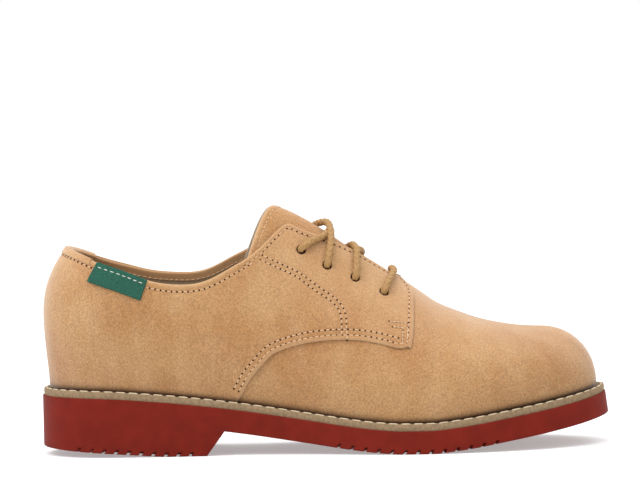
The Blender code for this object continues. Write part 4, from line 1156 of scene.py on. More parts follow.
print("quarters")
eyelets = {side: eyeletPlaces(side) for side in (lateralSide, medialSide)}
for side, word in ((lateralSide, "Lateral"), (medialSide, "Medial")):
    turn, rise = grids[side]
    base = lastPoint(side, turn, rise)
    border = np.concatenate([base[:, -1], base[-1]])
    fine = np.concatenate([np.linspace(a, b, 6)[:-1] for a, b in zip(border[:-1], border[1:])])
    fromEdge = nearest(base, fine)
    fromSeam = nearest(base, seamPoints[side])
    fromHeel = np.linalg.norm(base - base[:, :1], axis=-1)
    full = rounded(fromEdge, upperSizes["edgeRadius"])
    swell = waver(base) * np.clip(fromEdge / 0.004, 0.0, 1.0)
    seam = np.exp(-(fromSeam / 0.0009) ** 2)
    heelSeam = np.exp(-(fromHeel / 0.0008) ** 2)
    puff = upperSizes["puff"] * np.exp(-((fromEdge - 0.0012) / 0.0010) ** 2)
    middle = wall + quarterStep * 0.45
    relief = swell - upperSizes["seamDepth"] * seam - upperSizes["heelSeamDepth"] * heelSeam + puff
    high = middle + (quarterStep * 0.55 + relief) * full
    low = middle - (quarterStep * 0.45 - upperSizes["shellGap"]) * full
    outer = skin(side, turn, rise, high)
    inner = skin(side, turn, rise, low)
    vertices, faces = shellBetween(outer, inner)
    # Painted highlight along the quarter's edge and on its upward part.
    edgeHighlightMark = np.maximum(np.exp(-(fromEdge / 0.0014) ** 2), topHighlightMark(rise))
    marks = {
        "edge": np.concatenate([edgeHighlightMark.ravel(), np.zeros(edgeHighlightMark.size)]),
        "seam": np.concatenate([seam.ravel(), np.zeros(seam.size)]),
        "inside": np.zeros(seam.size * 2),
        # painted shade near the welt
        "foot": np.concatenate([weltShadeMark(outer).ravel(), np.zeros(seam.size)]),
    }
    piece = makePiece("quarter" + word, vertices, faces, [suede], marks)
    starts = [skin(side, t, r, -0.003).reshape(3) for t, r in eyelets[side]]
    ends = [skin(side, t, r, 0.007).reshape(3) for t, r in eyelets[side]]
    cutOut(piece, barCutter("eyeletCutter", starts, ends, eyeletHoles["radius"], suede))
    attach(piece, "root")
    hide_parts("upper")

    everyOther = np.ix_(np.append(np.arange(0, turn.shape[0] - 1, 2), turn.shape[0] - 1),
                        np.append(np.arange(0, turn.shape[1] - 1, 2), turn.shape[1] - 1))
    up = (rise / topOf(side, turn))[everyOther]
    lineTurn = turn[everyOther] * liningSizes["reach"]
    lineRise = topOf(side, lineTurn) * up
    inBase = lastPoint(side, lineTurn, lineRise)
    fromTop = nearest(inBase, inBase[-1])
    full = rounded(fromTop, liningSizes["topRadius"])
    middle = liningSizes["thickness"] * 0.5
    outer = skin(side, lineTurn, lineRise, middle + middle * full)
    inner = skin(side, lineTurn, lineRise, middle - middle * full)
    vertices, faces = shellBetween(outer, inner)
    rim = np.clip((liningSizes["rim"] - fromTop) / 0.0008, 0.0, 1.0).ravel()
    line = np.exp(-((fromTop - liningSizes["rimLine"]) / 0.0007) ** 2).ravel()
    marks = {"edge": np.concatenate([rim, rim]), "seam": np.concatenate([line, line])}
    piece = makePiece("lining" + word, vertices, faces, [lining], marks)
    cutOut(piece, barCutter("eyeletCutter", starts, ends, eyeletHoles["radius"], lining))
    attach(piece, "root")
    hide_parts("upper")

print("vamp")
vertices, faces, insides, weltShades, topHighlights, count = [], [], [], [], [], 0
for side in (lateralSide, medialSide):
    turn, rise = vampGrid(side, rows[side])
    base = lastPoint(side, turn, rise)
    outer = skin(side, turn, rise, wall + waver(base) * (rise < 1.0 - 1e-6) * (turn < 1.0 - 1e-6))
    inner = skin(side, turn, rise, 0.0)
    grid, cells = shellBetween(outer, inner)
    # The two sides share the ridge and the toe's middle, where no border band is wanted
    rowCount, columnCount = turn.shape
    total = rowCount * columnCount
    ringStart = 2 * (rowCount - 1) * (columnCount - 1)
    ring = cells[ringStart:]
    flat = np.concatenate([(turn > 1.0 - 1e-9).ravel(), (turn > 1.0 - 1e-9).ravel()])
    ridge = np.concatenate([(rise > 1.0 - 1e-9).ravel(), (rise > 1.0 - 1e-9).ravel()])
    shared = flat[ring].all(axis=1) | ridge[ring].all(axis=1)
    cells = np.concatenate([cells[:ringStart], ring[~shared]])
    vertices.append(grid)
    faces.append(cells + count)
    count += len(grid)
    insides.append(np.concatenate([np.zeros(total), np.ones(total)]))
    # Painted highlight on the vamp's upward faces.
    topHighlights.append(np.concatenate([topHighlightMark(rise).ravel(), np.zeros(total)]))
    # painted shade near the welt, on the outer face only
    weltShades.append(np.concatenate([weltShadeMark(outer).ravel(), np.zeros(total)]))
marks = {"inside": np.concatenate(insides), "edge": np.concatenate(topHighlights),
         "seam": np.concatenate(insides) * 0.0, "foot": np.concatenate(weltShades)}
vamp = makePiece("vamp", np.concatenate(vertices), np.concatenate(faces), [suede], marks)
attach(vamp, "root")
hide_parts("upper")

print("stitches")
surface = wall + quarterStep - upperSizes["seamDepth"]
threads = [evenPlaces(side, turn, rise, pitch, surface + 0.00012, 0.9)
           for side, turn, rise, pitch in stitchRows]
threads += [evenPlaces(side, turn, rise, pitch, -0.0001, 0.9) for side, turn, rise, pitch in innerRows]
# Painted shade: a dark disc at each stitch hole.
holes = [evenPlaces(side, turn, rise, pitch, surface + 0.00006, 0.4, 0.0)
         for side, turn, rise, pitch in stitchRows]
for name, found, sizes, finish in (("upperStitches", threads, stitching["thread"], thread),
                                   ("upperHoleShades", holes, stitching["holeShade"], holeShade)):
    centres, ways, ups = (np.concatenate(part) for part in zip(*found))
    vertices, faces = beads(centres, ways, ups, *sizes)
    piece = makePiece(name, vertices, faces, [finish], merge=1e-7)
    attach(piece, "root")


# Tongue

print("tongue")
tongueSizes = {
    "thickness": 0.0026,
    "gap": 0.0009,
    "tip": 0.4205 * soleLength,
    "front": 0.6593 * soleLength,
    "halfFront": 0.0130,
    "halfTop": 0.0400,
    "endSweep": 0.0024,
    "spread": 1.1,
    "edgeRadius": 0.0010,
    "seamIn": 0.0029,
    "seamDepth": 0.0002,
    # where the end's stitch row lies, as a share of the tongue's length
    "stitchRow": 0.966,
    "stitchPitch": 0.0026,
    "thread": (0.0018, 0.00058, 0.00050),
}
lengthwise = np.linspace(0.0, 1.0, 90)[:, None]
lengthwise = 1.0 - (1.0 - lengthwise) ** 1.6
crosswise = np.linspace(-1.0, 1.0, 61)[None, :]


# Turn and rise of the tongue's places, from its length and cross shares.
def tonguePlaces(lengthwise, crosswise):
    tip = tongueSizes["tip"] - tongueSizes["endSweep"] * crosswise ** 2
    along = (tongueSizes["front"] * (1 - lengthwise) + tip * lengthwise) / soleLength
    share = (along - ridgeBackAlong) / (ridgeFrontAlong - ridgeBackAlong)
    turn = np.arccos(1.0 - 2.0 * share) / math.pi
    front, top = tongueSizes["halfFront"], tongueSizes["halfTop"]
    half = front + (top - front) * ease(lengthwise * tongueSizes["spread"])
    reach = np.abs(crosswise) * half
    rise = np.empty(turn.shape)
    for side, chosen in ((lateralSide, crosswise[0] < 0.0), (medialSide, crosswise[0] >= 0.0)):
        rise[:, chosen] = walkDown(side, turn[:, chosen], 1.0, reach[:, chosen])
    return turn, np.where(reach < 1e-9, 1.0, rise)


# Points of the tongue at a depth under the upper's inner face.
def tonguePoints(turn, rise, crosswise, offset):
    points = np.empty(turn.shape + (3,))
    for side, chosen in ((lateralSide, crosswise[0] < 0.0), (medialSide, crosswise[0] >= 0.0)):
        points[:, chosen] = skin(side, turn[:, chosen], rise[:, chosen], offset[:, chosen])
    return points


turn, rise = tonguePlaces(lengthwise, crosswise)
flat = tonguePoints(turn, rise, crosswise, np.zeros(turn.shape))
border = np.concatenate([flat[:, 0], flat[-1], flat[:, -1]])
border = np.concatenate([np.linspace(a, b, 5)[:-1] for a, b in zip(border[:-1], border[1:])])
fromEdge = nearest(flat, border)
full = rounded(fromEdge, tongueSizes["edgeRadius"])
half = tongueSizes["thickness"] / 2.0
seam = np.exp(-((fromEdge - tongueSizes["seamIn"]) / 0.0008) ** 2)
high = -tongueSizes["gap"] - half + half * full - tongueSizes["seamDepth"] * seam
low = -tongueSizes["gap"] - half - half * full
outer = tonguePoints(turn, rise, crosswise, high)
inner = tonguePoints(turn, rise, crosswise, low)
vertices, faces = shellBetween(outer, inner)
# Painted highlight along the tongue's rolled edges.
edgeHighlightMark = np.exp(-(fromEdge / 0.0014) ** 2)
marks = {
    "edge": np.concatenate([edgeHighlightMark.ravel(), edgeHighlightMark.ravel()]),
    "seam": np.concatenate([seam.ravel(), seam.ravel() * 0.0]),
    "inside": np.concatenate([seam.ravel() * 0.0, seam.ravel() * 0.0 + 1.0]),
    "foot": np.zeros(seam.size * 2),
}
tongue = makePiece("tonguePiece", vertices, faces, [suede], marks)
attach(tongue, "root")
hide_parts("tongue")

# A stitch row runs along the tongue's end.
lineShare = np.linspace(-0.9, 0.9, 241)[None, :]
turn, rise = tonguePlaces(np.array([[tongueSizes["stitchRow"]]]), lineShare)
line = tonguePoints(turn, rise, lineShare, np.full(turn.shape, -tongueSizes["gap"] - 0.0001))[0]
above = tonguePoints(turn, rise, lineShare, np.full(turn.shape, -tongueSizes["gap"] + 0.0009))[0] - line
length = pathLength(line)
pitch = tongueSizes["stitchPitch"]
places = np.arange(pitch / 2.0, length[-1] - pitch / 2.0, pitch)
ways = unit(readAt(places + 0.0004, length, line) - readAt(places - 0.0004, length, line))
ups = unit(readAt(places, length, above))
vertices, faces = beads(readAt(places, length, line), ways, ups, *tongueSizes["thread"])
piece = makePiece("tongueStitches", vertices, faces, [thread], merge=1e-7)
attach(piece, "root")


# Laces


laceSizes = {
    "diameter": 0.0034,
    # how far a lace sits above the middle of its eyelet hole
    "lift": 0.0005,
    "braidPitch": 0.0030,
    "strands": 4,
    "relief": 0.15,
    "around": 30,
    "step": 0.00025,
}


# A braided round cord along a smooth curve through the route's points: its radius
# swells and sinks as a wave round the cord times a wave along it.
def braidedTube(route, radius, sizes):
    route = np.asarray(route, float)
    length = pathLength(route)
    count = int(length[-1] / sizes["step"])
    place = np.linspace(0.0, length[-1], count + 1)
    line = np.stack([springLine(length, route[:, i])(place) for i in range(3)], axis=1)
    tangent = unit(np.gradient(line, axis=0))
    # a fixed side direction is enough, because no route turns along it
    other = unit(np.cross(tangent, (1.0, 0.0, 0.0)))
    third = np.cross(tangent, other)
    angles = np.linspace(0.0, 2.0 * math.pi, sizes["around"] + 1)
    along = np.cos(2.0 * math.pi * place / sizes["braidPitch"])
    wave = np.cos(sizes["strands"] * angles)[None, :] * along[:, None]
    size = radius * (1.0 - sizes["relief"] * 0.5 + sizes["relief"] * wave)
    capped = np.clip(np.minimum(place, length[-1] - place) / radius, 0.0, 1.0)
    size = size * np.sqrt(1.0 - (1.0 - capped) ** 2)[:, None]
    ring = (np.cos(angles)[None, :, None] * other[:, None] + np.sin(angles)[None, :, None] * third[:, None])
    points = line[:, None] + ring * size[..., None]
    return points.reshape(-1, 3), cellFaces(count + 1, sizes["around"] + 1)


laceRadius = laceSizes["diameter"] / 2.0
flapFace = wall + quarterStep
# Each lace is a line of places. across is 0 at its eyelet, 1 and 2 at the flaps' edges
# and 3 at the eyelet it reaches; share is how far it has gone from pair to pair; height
# is above the upper's inner face in lace radii; ahead is a small turn towards the toe.
laceOver = (
    # across, share, height, ahead
    (0.00, 0.00, 0.2, 0.000), (0.00, 0.00, 2.1, 0.000), (0.20, 0.00, 2.85, 0.000),
    (0.60, 0.01, 3.00, 0.000), (0.95, 0.05, 3.00, 0.000), (1.22, 0.14, 2.45, 0.000),
    (1.50, 0.36, 1.75, 0.000), (1.78, 0.62, 1.60, 0.000), (2.05, 0.80, 2.75, 0.000),
    (2.50, 0.94, 3.00, 0.000), (2.82, 1.00, 2.85, 0.000), (3.00, 1.00, 2.1, 0.000),
    (3.00, 1.00, 0.2, 0.000),
)
laceUnder = (
    # across, share, height, ahead
    (0.00, 0.00, 0.2, 0.000), (0.00, 0.00, 2.1, 0.000), (0.20, 0.12, 2.85, 0.000),
    (0.60, 0.40, 2.95, 0.000), (0.95, 0.68, 2.35, 0.000), (1.22, 0.84, 1.10, 0.000),
    (1.50, 0.93, 0.45, 0.000), (1.78, 0.98, 1.15, 0.000), (2.05, 1.00, 2.70, 0.000),
    (2.50, 1.00, 2.98, 0.000), (2.82, 1.00, 2.85, 0.000), (3.00, 1.00, 2.1, 0.000),
    (3.00, 1.00, 0.2, 0.000),
)
laceHiddenOver = (
    # across, share, height, ahead
    (0.00, 0.00, 0.2, 0.000), (0.00, 0.00, 2.1, 0.000), (0.20, 0.01, 2.85, 0.000),
    (0.60, 0.05, 2.98, 0.000), (0.96, 0.08, 2.75, 0.000), (1.20, 0.10, 1.60, 0.000),
    (1.50, 0.12, 0.75, 0.000), (1.78, 0.25, 0.20, 0.000), (2.02, 0.45, -0.30, 0.000),
    (2.20, 0.60, -0.60, 0.000),
)
laceHiddenUnder = (
    # across, share, height, ahead
    (0.00, 0.00, 0.2, 0.000), (0.00, 0.00, 2.1, 0.000), (0.20, 0.00, 2.85, 0.001),
    (0.60, 0.00, 2.98, 0.004), (0.96, 0.00, 2.70, 0.006), (1.20, 0.02, 1.60, 0.007),
    (1.50, 0.05, 0.65, 0.007), (1.78, 0.18, 0.10, 0.005), (2.02, 0.40, -0.40, 0.000),
    (2.20, 0.60, -0.60, 0.000),
)
laceStraight = (
    # across, share, height, ahead
    (0.00, 0.00, 0.2, 0.000), (0.00, 0.00, 2.1, 0.000), (0.22, 0.00, 2.85, 0.003),
    (0.60, 0.00, 3.00, 0.009), (0.95, 0.00, 2.90, 0.013), (1.50, 0.00, 1.90, 0.014),
    (2.05, 0.00, 2.90, 0.013), (2.40, 0.00, 3.00, 0.009), (2.78, 0.00, 2.85, 0.003),
    (3.00, 0.00, 2.1, 0.000), (3.00, 0.00, 0.2, 0.000),
)


# A place in an eyelet hole that is a little nearer the flap's top than its middle.
def highInHole(side, pair):
    turn, rise = eyelets[side][pair]
    above = np.linalg.norm(lastPoint(side, turn, rise + 0.01) - lastPoint(side, turn, rise))
    return turn, rise + laceSizes["lift"] * 0.01 / above


# The points of one lace from an eyelet on one side towards one on the other side.
def laceRoute(side, start, end, path):
    (turnA, riseA), (turnB, riseB) = start, end
    points = []
    for across, share, height, ahead in path:
        turn = turnA + (turnB - turnA) * share + ahead
        here = side if across <= 1.5 else -side
        top = float(topOf(here, turn))
        if across <= 1.0:
            rise = riseA + (top - riseA) * across
        elif across <= 2.0:
            rise = top + (1.0 - top) * (1.0 - abs(across - 1.5) * 2.0)
        else:
            rise = top + (riseB - top) * (across - 2.0)
        points.append(skin(here, turn, rise, height * laceRadius).reshape(3))
    return points


print("laces")
# Painted shade: a dark bar inside each eyelet hole stands in for the shade in the hole.
for side, word in ((lateralSide, "Lateral"), (medialSide, "Medial")):
    starts = [skin(side, t, r, 0.0004).reshape(3) for t, r in eyelets[side]]
    ends = [skin(side, t, r, flapFace - 0.0009).reshape(3) for t, r in eyelets[side]]
    piece = barCutter("eyeletShadow" + word, starts, ends, eyeletHoles["radius"], holeShade)
    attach(piece, "root")
laceFinish = plainFinish("laceFinish", (0.340, 0.190, 0.068), 0.6, 0.18, 2600.0, 4200.0, 0.00012, 0.35)
lacePlans = (
    # name, CAD node, side, pair it leaves, pair it reaches, path
    ("laceBar", "lace_bar", lateralSide, 3, 3, laceStraight),
    ("laceTopOver", "lace_cross_upper", lateralSide, 1, 0, laceOver),
    ("laceTopUnder", "lace_cross_upper", lateralSide, 0, 1, laceUnder),
    ("laceLowOver", "lace_cross_lower", lateralSide, 2, 1, laceHiddenOver),
    ("laceLowUnder", "lace_cross_lower", medialSide, 2, 1, laceHiddenUnder),
)
for name, node, side, low, high, path in lacePlans:
    route = laceRoute(side, highInHole(side, low), highInHole(-side, high), path)
    vertices, faces = braidedTube(route, laceRadius, laceSizes)
    piece = makePiece(name, vertices, faces, [laceFinish], sharpDeg=80.0)
    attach(piece, "root")
    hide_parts(node)


# Sole, welt and insole


# A closed solid of cross sections: each station is a loop of insets and heights.
def sectionSolid(name, turns, levels, across, material):
    # each level is an inset and a height, as functions, from the top's edge down
    edges = [(soleEdge(lateralSide, turns, inset(turns))[0],
              soleEdge(medialSide, turns, inset(turns))[0], height) for inset, height in levels]
    share = np.linspace(0.0, 1.0, across + 1)[1:-1]
    columns = []

    def point(plan, height):
        return np.concatenate([plan, height(plan[:, 0])[:, None]], axis=1)

    lateralTop, medialTop, topHeight = edges[0]
    lateralLow, medialLow, lowHeight = edges[-1]
    for lateral, medial, height in edges:
        columns.append(point(lateral, height))
    for s in share:
        columns.append(point(lateralLow * (1 - s) + medialLow * s, lowHeight))
    for lateral, medial, height in edges[::-1]:
        columns.append(point(medial, height))
    for s in share:
        columns.append(point(medialTop * (1 - s) + lateralTop * s, topHeight))
    columns.append(columns[0])
    grid = np.stack(columns, axis=1)
    return makePiece(name, grid, cellFaces(*grid.shape[:2]), [material], sharpDeg=50.0)


# Stations along the sole, with finer steps at the heel's breast.
def soleTurns(count):
    breast = soleForm["heelLength"] / soleLength
    slant = soleForm["breastSlant"] / soleLength
    flatEnd = (soleForm["heelLength"] - soleForm["heelFlat"]) / soleLength
    stops = np.array([flatEnd, breast, breast + 0.25 * slant, breast + slant,
                      soleLineTable[9][0], soleLineTable[10][0]])
    turns = np.arccos(1.0 - 2.0 * stops) / math.pi
    return np.sort(np.unique(np.concatenate([np.linspace(0.0, 1.0, count), turns])))


# The whole underside, with the step at the heel's breast.
def underside(x):
    breast = soleForm["heelLength"] - soleLength / 2.0
    front = breast + soleForm["breastSlant"]
    share = np.clip((x - breast) / (front - breast), 0.0, 1.0)
    heel = heelUnderside(x)
    return np.where(x < front - 1e-7, heel * (1 - share) + forepartUnderside(front) * share,
                    forepartUnderside(x))


# How far the sole's side leans in towards its top, at a turn.
def flareAt(turns):
    return soleForm["flare"] * ease((alongOf(turns) - soleForm["flareFrom"]) / soleForm["flareOver"])


print("sole")
soleLook = {
    "topRound": 0.0005,
    "footRound": 0.0008,
    "stations": 420,
    "across": 16,
}
tread = {
    "width": 0.0016,
    "height": 0.0019,
    "length": 0.0120,
    "overcut": 0.0030,
    "leanDeg": 35.0,
    # first groove from the heel's back, number of grooves and their pitch
    "heel": (0.0168, 10, 0.0059),
    "forepart": (0.1395, 13, 0.0062),
}
soleLevels = []
topRound, footRound = soleLook["topRound"], soleLook["footRound"]
for angle in np.linspace(0.0, 1.0, 5) * math.pi / 2.0:
    soleLevels.append((lambda t, a=angle: flareAt(t) + topRound * (1.0 - math.sin(a)),
                       lambda x, a=angle: soleTop(x) - topRound * (1.0 - math.cos(a))))
for share in np.linspace(0.1, 0.9, 7):
    soleLevels.append((lambda t, s=share: flareAt(t) * (1.0 - s),
                       lambda x, s=share: ((soleTop(x) - topRound) * (1.0 - s)
                                           + (underside(x) + footRound) * s)))
for angle in np.linspace(0.0, 1.0, 6) * math.pi / 2.0:
    soleLevels.append((lambda t, a=angle: np.zeros_like(t) + footRound * (1.0 - math.cos(a)),
                       lambda x, a=angle: underside(x) + footRound * (1.0 - math.sin(a))))
sole = sectionSolid("soleUnit", soleTurns(soleLook["stations"]), soleLevels, soleLook["across"], rubber)
vertices, faces, number = [], [], 0
lean = math.tan(math.radians(tread["leanDeg"]))
groove = ((-0.5, -tread["overcut"]), (0.5, -tread["overcut"]), (0.5, tread["height"]),
          (-0.5, tread["height"]), (-0.5, -tread["overcut"]))
for (start, count, pitch), floorLine in ((tread["heel"], heelUnderside),
                                         (tread["forepart"], forepartUnderside)):
    for side in (lateralSide, medialSide):
        along = (start + np.arange(count) * pitch) / soleLength
        edge, inward = soleEdge(side, np.arccos(1.0 - 2.0 * along) / math.pi)
        ahead = np.stack([np.abs(inward[:, 1]), -inward[:, 0] * np.sign(inward[:, 1])], axis=1)
        height = floorLine(edge[:, 0])
        ring = []
        for step, level in groove:
            shift = step * tread["width"] + level * lean
            outerEnd = edge - inward * tread["overcut"] + ahead * shift
            innerEnd = edge + inward * tread["length"] + ahead * shift
            ring.append(np.stack([np.column_stack([outerEnd, height + level]),
                                  np.column_stack([innerEnd, height + level])], axis=1))
        ring = np.stack(ring, axis=2)
        middles = ring[:, :, :4].mean(axis=2, keepdims=True)
        small = middles + (ring - middles) * 1e-3
        grid = np.stack([small[:, 0], ring[:, 0], ring[:, 1], small[:, 1]], axis=1)
        faces.append((number + np.arange(count)[:, None, None] * 20 + cellFaces(4, 5)[None]).reshape(-1, 4))
        vertices.append(grid.reshape(-1, 3))
        number += count * 20
cutter = makePiece("grooveCutter", np.concatenate(vertices), np.concatenate(faces), [rubber], merge=8e-6)
cutOut(sole, cutter)
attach(sole, "root")
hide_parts("outsole")

print("welt")
weltLook = {
    "round": 0.0009,
    "stitchIn": 0.0014,
    "stitchPitch": 0.0059,
    # length, width, height and roundness of one stitch
    "stitch": (0.0044, 0.00095, 0.0009, 0.6),
}
loopTurns = np.linspace(0.0, 1.0, 361)


# The whole way round the sole: lateral side forwards, then medial side back.
def weltLoop(inset, height):
    sides = []
    for side in (lateralSide, medialSide):
        edge = soleEdge(side, loopTurns, np.zeros_like(loopTurns) + inset)[0]
        sides.append(np.column_stack([edge, height(edge[:, 0])]))
    return np.concatenate([sides[0], sides[1][::-1][1:]])


# How far the welt's and the insole's inner edges lie inside the sole's edge.
def weltInner(turns):
    return weltForm["ledge"] * ledgeShare(alongOf(turns)) + wall + quarterStep


outerEdge = weltForm["setback"] + flareAt(loopTurns)
profile = [(weltInner(loopTurns), 0.0), (weltForm["setback"] + 0.0003 + flareAt(loopTurns), 0.0)]
for share in np.linspace(0.0, 1.0, 7):
    leanIn = 1.0 - math.sin(math.pi / 2.0 * (0.4 + 0.6 * (1 - share)))
    profile.append((outerEdge + weltLook["round"] * leanIn,
                    gap + (weltForm["thickness"] - gap) * (0.45 + 0.55 * math.sin(share * math.pi / 2.0))))
profile.append((outerEdge + weltLook["round"] * 2.2, weltForm["thickness"] - 0.0001))
profile.append((outerEdge + weltLook["round"] * 3.0, weltForm["thickness"]))
profile.append((weltInner(loopTurns), weltForm["thickness"]))
profile.append(profile[0])
grid = np.stack([weltLoop(inset, lambda x, lift=lift: soleTop(x) + lift)
                 for inset, lift in profile], axis=1)
welt = makePiece("weltStrip", grid, cellFaces(*grid.shape[:2]), [weltFinish], sharpDeg=50.0)
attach(welt, "root")
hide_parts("welt")

# Welt stitches lie in a row just inside the welt's outer edge.
row = weltLoop(outerEdge + weltLook["stitchIn"], weltTop)
length = pathLength(row)
count = int(length[-1] / weltLook["stitchPitch"])
places = np.arange(count) * length[-1] / count
before, after = (places - 0.001) % length[-1], (places + 0.001) % length[-1]
ahead = unit(readAt(after, length, row) - readAt(before, length, row))
up = unit(np.cross(np.cross(ahead, (0.0, 0.0, 1.0)), ahead))
vertices, faces = beads(readAt(places, length, row) - up * 0.00005, ahead, up, *weltLook["stitch"])
piece = makePiece("weltStitches", vertices, faces, [weltThread], merge=1e-7)
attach(piece, "root")

print("insole")
insoleSizes = {
    "thickness": 0.0040,
    "gap": 0.0007,
}
insoleTop = gap + insoleSizes["thickness"]
insoleGap = insoleSizes["gap"]
insoleLevels = [(lambda t: weltInner(t) + insoleGap + 0.0006, lambda x: soleTop(x) + insoleTop),
                (lambda t: weltInner(t) + insoleGap, lambda x: soleTop(x) + insoleTop - 0.0005),
                (lambda t: weltInner(t) + insoleGap, lambda x: soleTop(x) + gap)]
piece = sectionSolid("insolePiece", np.linspace(0.0, 1.0, 181), insoleLevels, 12, insoleFinish)
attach(piece, "root")
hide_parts("insole")


# Collar trim

print("trim")
stripSizes = {
    "halfLength": 0.0250,
    "height": 0.0038,
    "thickness": 0.0005,
    "clearance": 0.00005,
}
tabSizes = {
    "length": 0.0245,
    "height": 0.0102,
    "thickness": 0.0011,
    "back": 0.1074 * soleLength,
    # how far it leans back for each metre that it hangs
    "skew": 0.20,
    "stitchDown": 0.0024,
    "stitchPitch": 0.0028,
    "thread": (0.0018, 0.00045, 0.0004),
}


# The turns at even distances along the top edge, on one side.
def turnsAlongTop(side, distances, start=0.0):
    turns = np.linspace(0.0, 0.5, 301)
    line = lastPoint(side, turns, topOf(side, turns))
    length = pathLength(line)
    base = np.interp(start, turns, length)
    return np.interp(base + distances, length, turns)


shares = np.linspace(-1.0, 1.0, 81)
outside = wall + quarterStep + stripSizes["clearance"]
inside = -stripSizes["clearance"]
middle = (outside + inside) / 2.0
thick = stripSizes["thickness"]
legDown = stripSizes["height"] - 0.0008
leg = np.linspace(1.0, 0.0, 10)
fold = np.linspace(0.0, math.pi, 13)[1:-1]


# How far down and how far out the folded band's section lies, at a thickness.
def bandSection(thickness, lift):
    raised = np.sqrt(1.0 - (1.0 - np.clip((1.0 - leg) * 5.0, 0.0, 1.0)) ** 2) * thickness
    down = np.concatenate([legDown * leg, -np.sin(fold) * lift, legDown * leg[::-1]])
    out = np.concatenate([outside + raised, middle + np.cos(fold) * (outside - middle + thickness),
                          (inside - raised)[::-1]])
    return list(zip(down, out))


sections = []
for thickness, lift in ((thick, thick + 0.0003), (-0.00012, 0.0)):
    columns = []
    for side in (lateralSide, medialSide):
        chosen = shares < 0.0 if side == lateralSide else shares >= 0.0
        turn = turnsAlongTop(side, np.abs(shares[chosen]) * stripSizes["halfLength"])
        top = topOf(side, turn)
        here, below = lastPoint(side, turn, top), lastPoint(side, turn, top - 0.01)
        perMetre = 0.01 / np.linalg.norm(here - below, axis=-1)
        columns.append(np.stack([skin(side, turn, top - down * perMetre, offset)
                                 for down, offset in bandSection(thickness, lift)], axis=1))
    sections.append(np.concatenate(columns))
vertices, faces = shellBetween(*sections)
zeros = np.zeros(len(vertices))
# The whole strip takes a little of the painted edge highlight.
marks = {"edge": zeros + 0.3, "seam": zeros, "inside": zeros, "foot": zeros}
piece = makePiece("backStrip", vertices, faces, [suede], marks)
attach(piece, "root")
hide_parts("back_strip")

turns = np.linspace(0.0, 0.5, 301)
line = lastPoint(lateralSide, turns, topOf(lateralSide, turns))
start = np.interp(tabSizes["back"], line[:, 0] + soleLength / 2.0, turns)
down = np.linspace(0.0, 1.0, 31)[:, None]
way = np.linspace(0.0, 1.0, 61)[None, :]
long, high, skew = tabSizes["length"], tabSizes["height"], tabSizes["skew"]
turn = turnsAlongTop(lateralSide, way * long - down * high * skew, start)
rise = walkDown(lateralSide, turn, topOf(lateralSide, turn), down * high + 0.0 * way)
fromSide = np.minimum(np.minimum(way, 1 - way) * long, np.minimum(down, 1 - down) * high)
lift = wall + quarterStep + 0.0002 + 0.0005 * (down ** 2) * (0.6 + 0.4 * np.cos(5.0 * way))
full = rounded(fromSide, 0.0005)
outer = skin(lateralSide, turn, rise, lift + tabSizes["thickness"] * (0.35 + 0.65 * full))
inner = skin(lateralSide, turn, rise, lift + tabSizes["thickness"] * 0.3 * (1.0 - full))
vertices, faces = shellBetween(outer, inner)
tabFinish = plainFinish("tabFinish", (0.024, 0.090, 0.062), 0.85, 0.25, 1800.0, 3200.0, 0.00014, 0.06)
piece = makePiece("tabPiece", vertices, faces, [tabFinish])
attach(piece, "root")
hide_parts("collar_tab")
distances = np.linspace(0.0012, long - 0.0012, 9)
turn = turnsAlongTop(lateralSide, distances - tabSizes["stitchDown"] * skew, start)
rise = walkDown(lateralSide, turn, topOf(lateralSide, turn), tabSizes["stitchDown"])
tabFace = wall + quarterStep + tabSizes["thickness"]
centres, ways, ups = evenPlaces(lateralSide, turn, rise, tabSizes["stitchPitch"], tabFace + 0.0002, 0.5)
vertices, faces = beads(centres, ways, ups, *tabSizes["thread"])
piece = makePiece("tabStitches", vertices, faces, [whiteThread], merge=1e-7)
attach(piece, "root")


# Floor, light and camera

print("studio")
studio = {
    "floorReach": 6.0,
    "floorColour": (0.655, 0.67, 0.68, 1.0),
    "floorGlow": 0.36,
    "frontWhite": 0.74,
    "backWhite": 1.0,
    # place, size and power
    "keyLight": ((-1.3, -0.8, 1.6), 1.0, 21.0),
    "topLight": ((0.35, 0.10, 1.6), 2.0, 20.0),
    "skyPower": 0.6,
    "skySoftDeg": 50.0,
    "skyTiltDeg": (25.0, -10.0, 0.0),
}
view = {
    "distance": 2.6,
    "elevationDeg": 3.25,
    "azimuthDeg": 0.65,
    "rollDeg": 1.2,
    "aim": (-0.0012, 0.0, 0.0991),
    # focal length in pixels, for a picture so many pixels wide
    "focalPixels": 5450.0,
    "widthPixels": 640.0,
}
reach = studio["floorReach"]
floorMesh = bpy.data.meshes.new("floor")
floorMesh.from_pydata([(-reach, -reach, 0.0), (reach, -reach, 0.0),
                       (reach, reach, 0.0), (-reach, reach, 0.0)], [], [(0, 1, 2, 3)])
floor = bpy.data.objects.new("floor", floorMesh)
bpy.context.scene.collection.objects.link(floor)
floorFinish = bpy.data.materials.new("floorFinish")
floorFinish.use_nodes = True
floorShader = floorFinish.node_tree.nodes["Principled BSDF"]
floorShader.inputs["Base Color"].default_value = studio["floorColour"]
floorShader.inputs["Roughness"].default_value = 0.9
floorShader.inputs["Emission Color"].default_value = (1.0, 1.0, 1.0, 1.0)
floorShader.inputs["Emission Strength"].default_value = studio["floorGlow"]
floorMesh.materials.append(floorFinish)

scene = bpy.context.scene
world = bpy.data.worlds.new("studioWorld")
scene.world = world
world.use_nodes = True
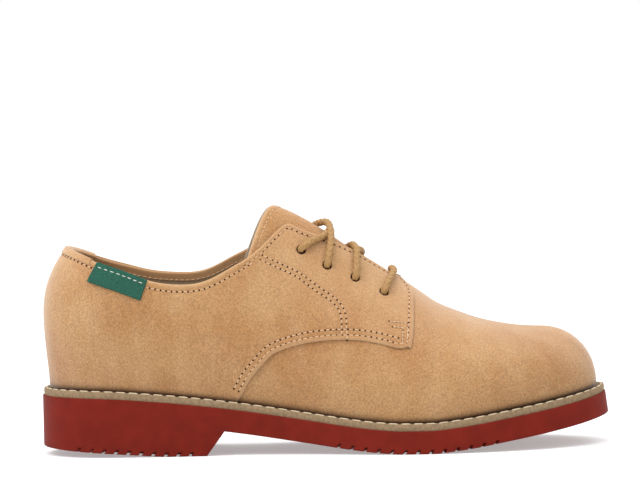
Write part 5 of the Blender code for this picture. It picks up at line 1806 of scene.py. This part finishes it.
# The studio is white behind the shoe and a little darker in front of it.
worldTree = world.node_tree
wayOut = worldTree.nodes.new("ShaderNodeTexCoord").outputs["Generated"]
wayParts = worldTree.nodes.new("ShaderNodeSeparateXYZ")
worldTree.links.new(wayOut, wayParts.inputs["Vector"])
frontShare = worldTree.nodes.new("ShaderNodeMapRange")
worldTree.links.new(wayParts.outputs["Y"], frontShare.inputs["Value"])
for key, value in (("From Min", -0.2), ("From Max", 0.7),
                   ("To Min", studio["frontWhite"]), ("To Max", studio["backWhite"])):
    frontShare.inputs[key].default_value = value
backdrop = worldTree.nodes["Background"]
backdrop.inputs["Color"].default_value = (1.0, 1.0, 1.0, 1.0)
worldTree.links.new(frontShare.outputs["Result"], backdrop.inputs["Strength"])
scene.view_settings.view_transform = "Standard"


# A soft square light that looks at the shoe.
def softLight(name, place, size, power, aim=(0.0, 0.0, 0.05)):
    light = bpy.data.lights.new(name, "AREA")
    light.shape = "SQUARE"
    light.size = size
    light.energy = power
    lamp = bpy.data.objects.new(name, light)
    lamp.location = place
    lamp.rotation_euler = (Vector(aim) - Vector(place)).to_track_quat("-Z", "Y").to_euler()
    scene.collection.objects.link(lamp)


for name in ("keyLight", "topLight"):
    softLight(name, *studio[name])
sun = bpy.data.lights.new("skyLight", "SUN")
sun.energy = studio["skyPower"]
sun.angle = math.radians(studio["skySoftDeg"])
sunLamp = bpy.data.objects.new("skyLight", sun)
sunLamp.rotation_euler = [math.radians(angle) for angle in studio["skyTiltDeg"]]
scene.collection.objects.link(sunLamp)

elevation, azimuth, roll = (math.radians(view[key]) for key in ("elevationDeg", "azimuthDeg", "rollDeg"))
back = np.array([-math.sin(azimuth) * math.cos(elevation), -math.cos(azimuth) * math.cos(elevation),
                 math.sin(elevation)])
right = np.array([math.cos(azimuth), -math.sin(azimuth), 0.0])
up = np.cross(back, right)
rightTurned = right * math.cos(roll) - up * math.sin(roll)
upTurned = up * math.cos(roll) + right * math.sin(roll)
camera = bpy.data.objects.new("camera", bpy.data.cameras.new("camera"))
matrix = Matrix.Identity(4)
for i, axis in enumerate((rightTurned, upTurned, back)):
    for j in range(3):
        matrix[j][i] = axis[j]
for j in range(3):
    matrix[j][3] = view["aim"][j] + view["distance"] * back[j]
camera.matrix_world = matrix
camera.data.sensor_width = 36.0
camera.data.lens = view["focalPixels"] / view["widthPixels"] * camera.data.sensor_width
camera.data.clip_end = 50.0
scene.collection.objects.link(camera)
scene.camera = camera
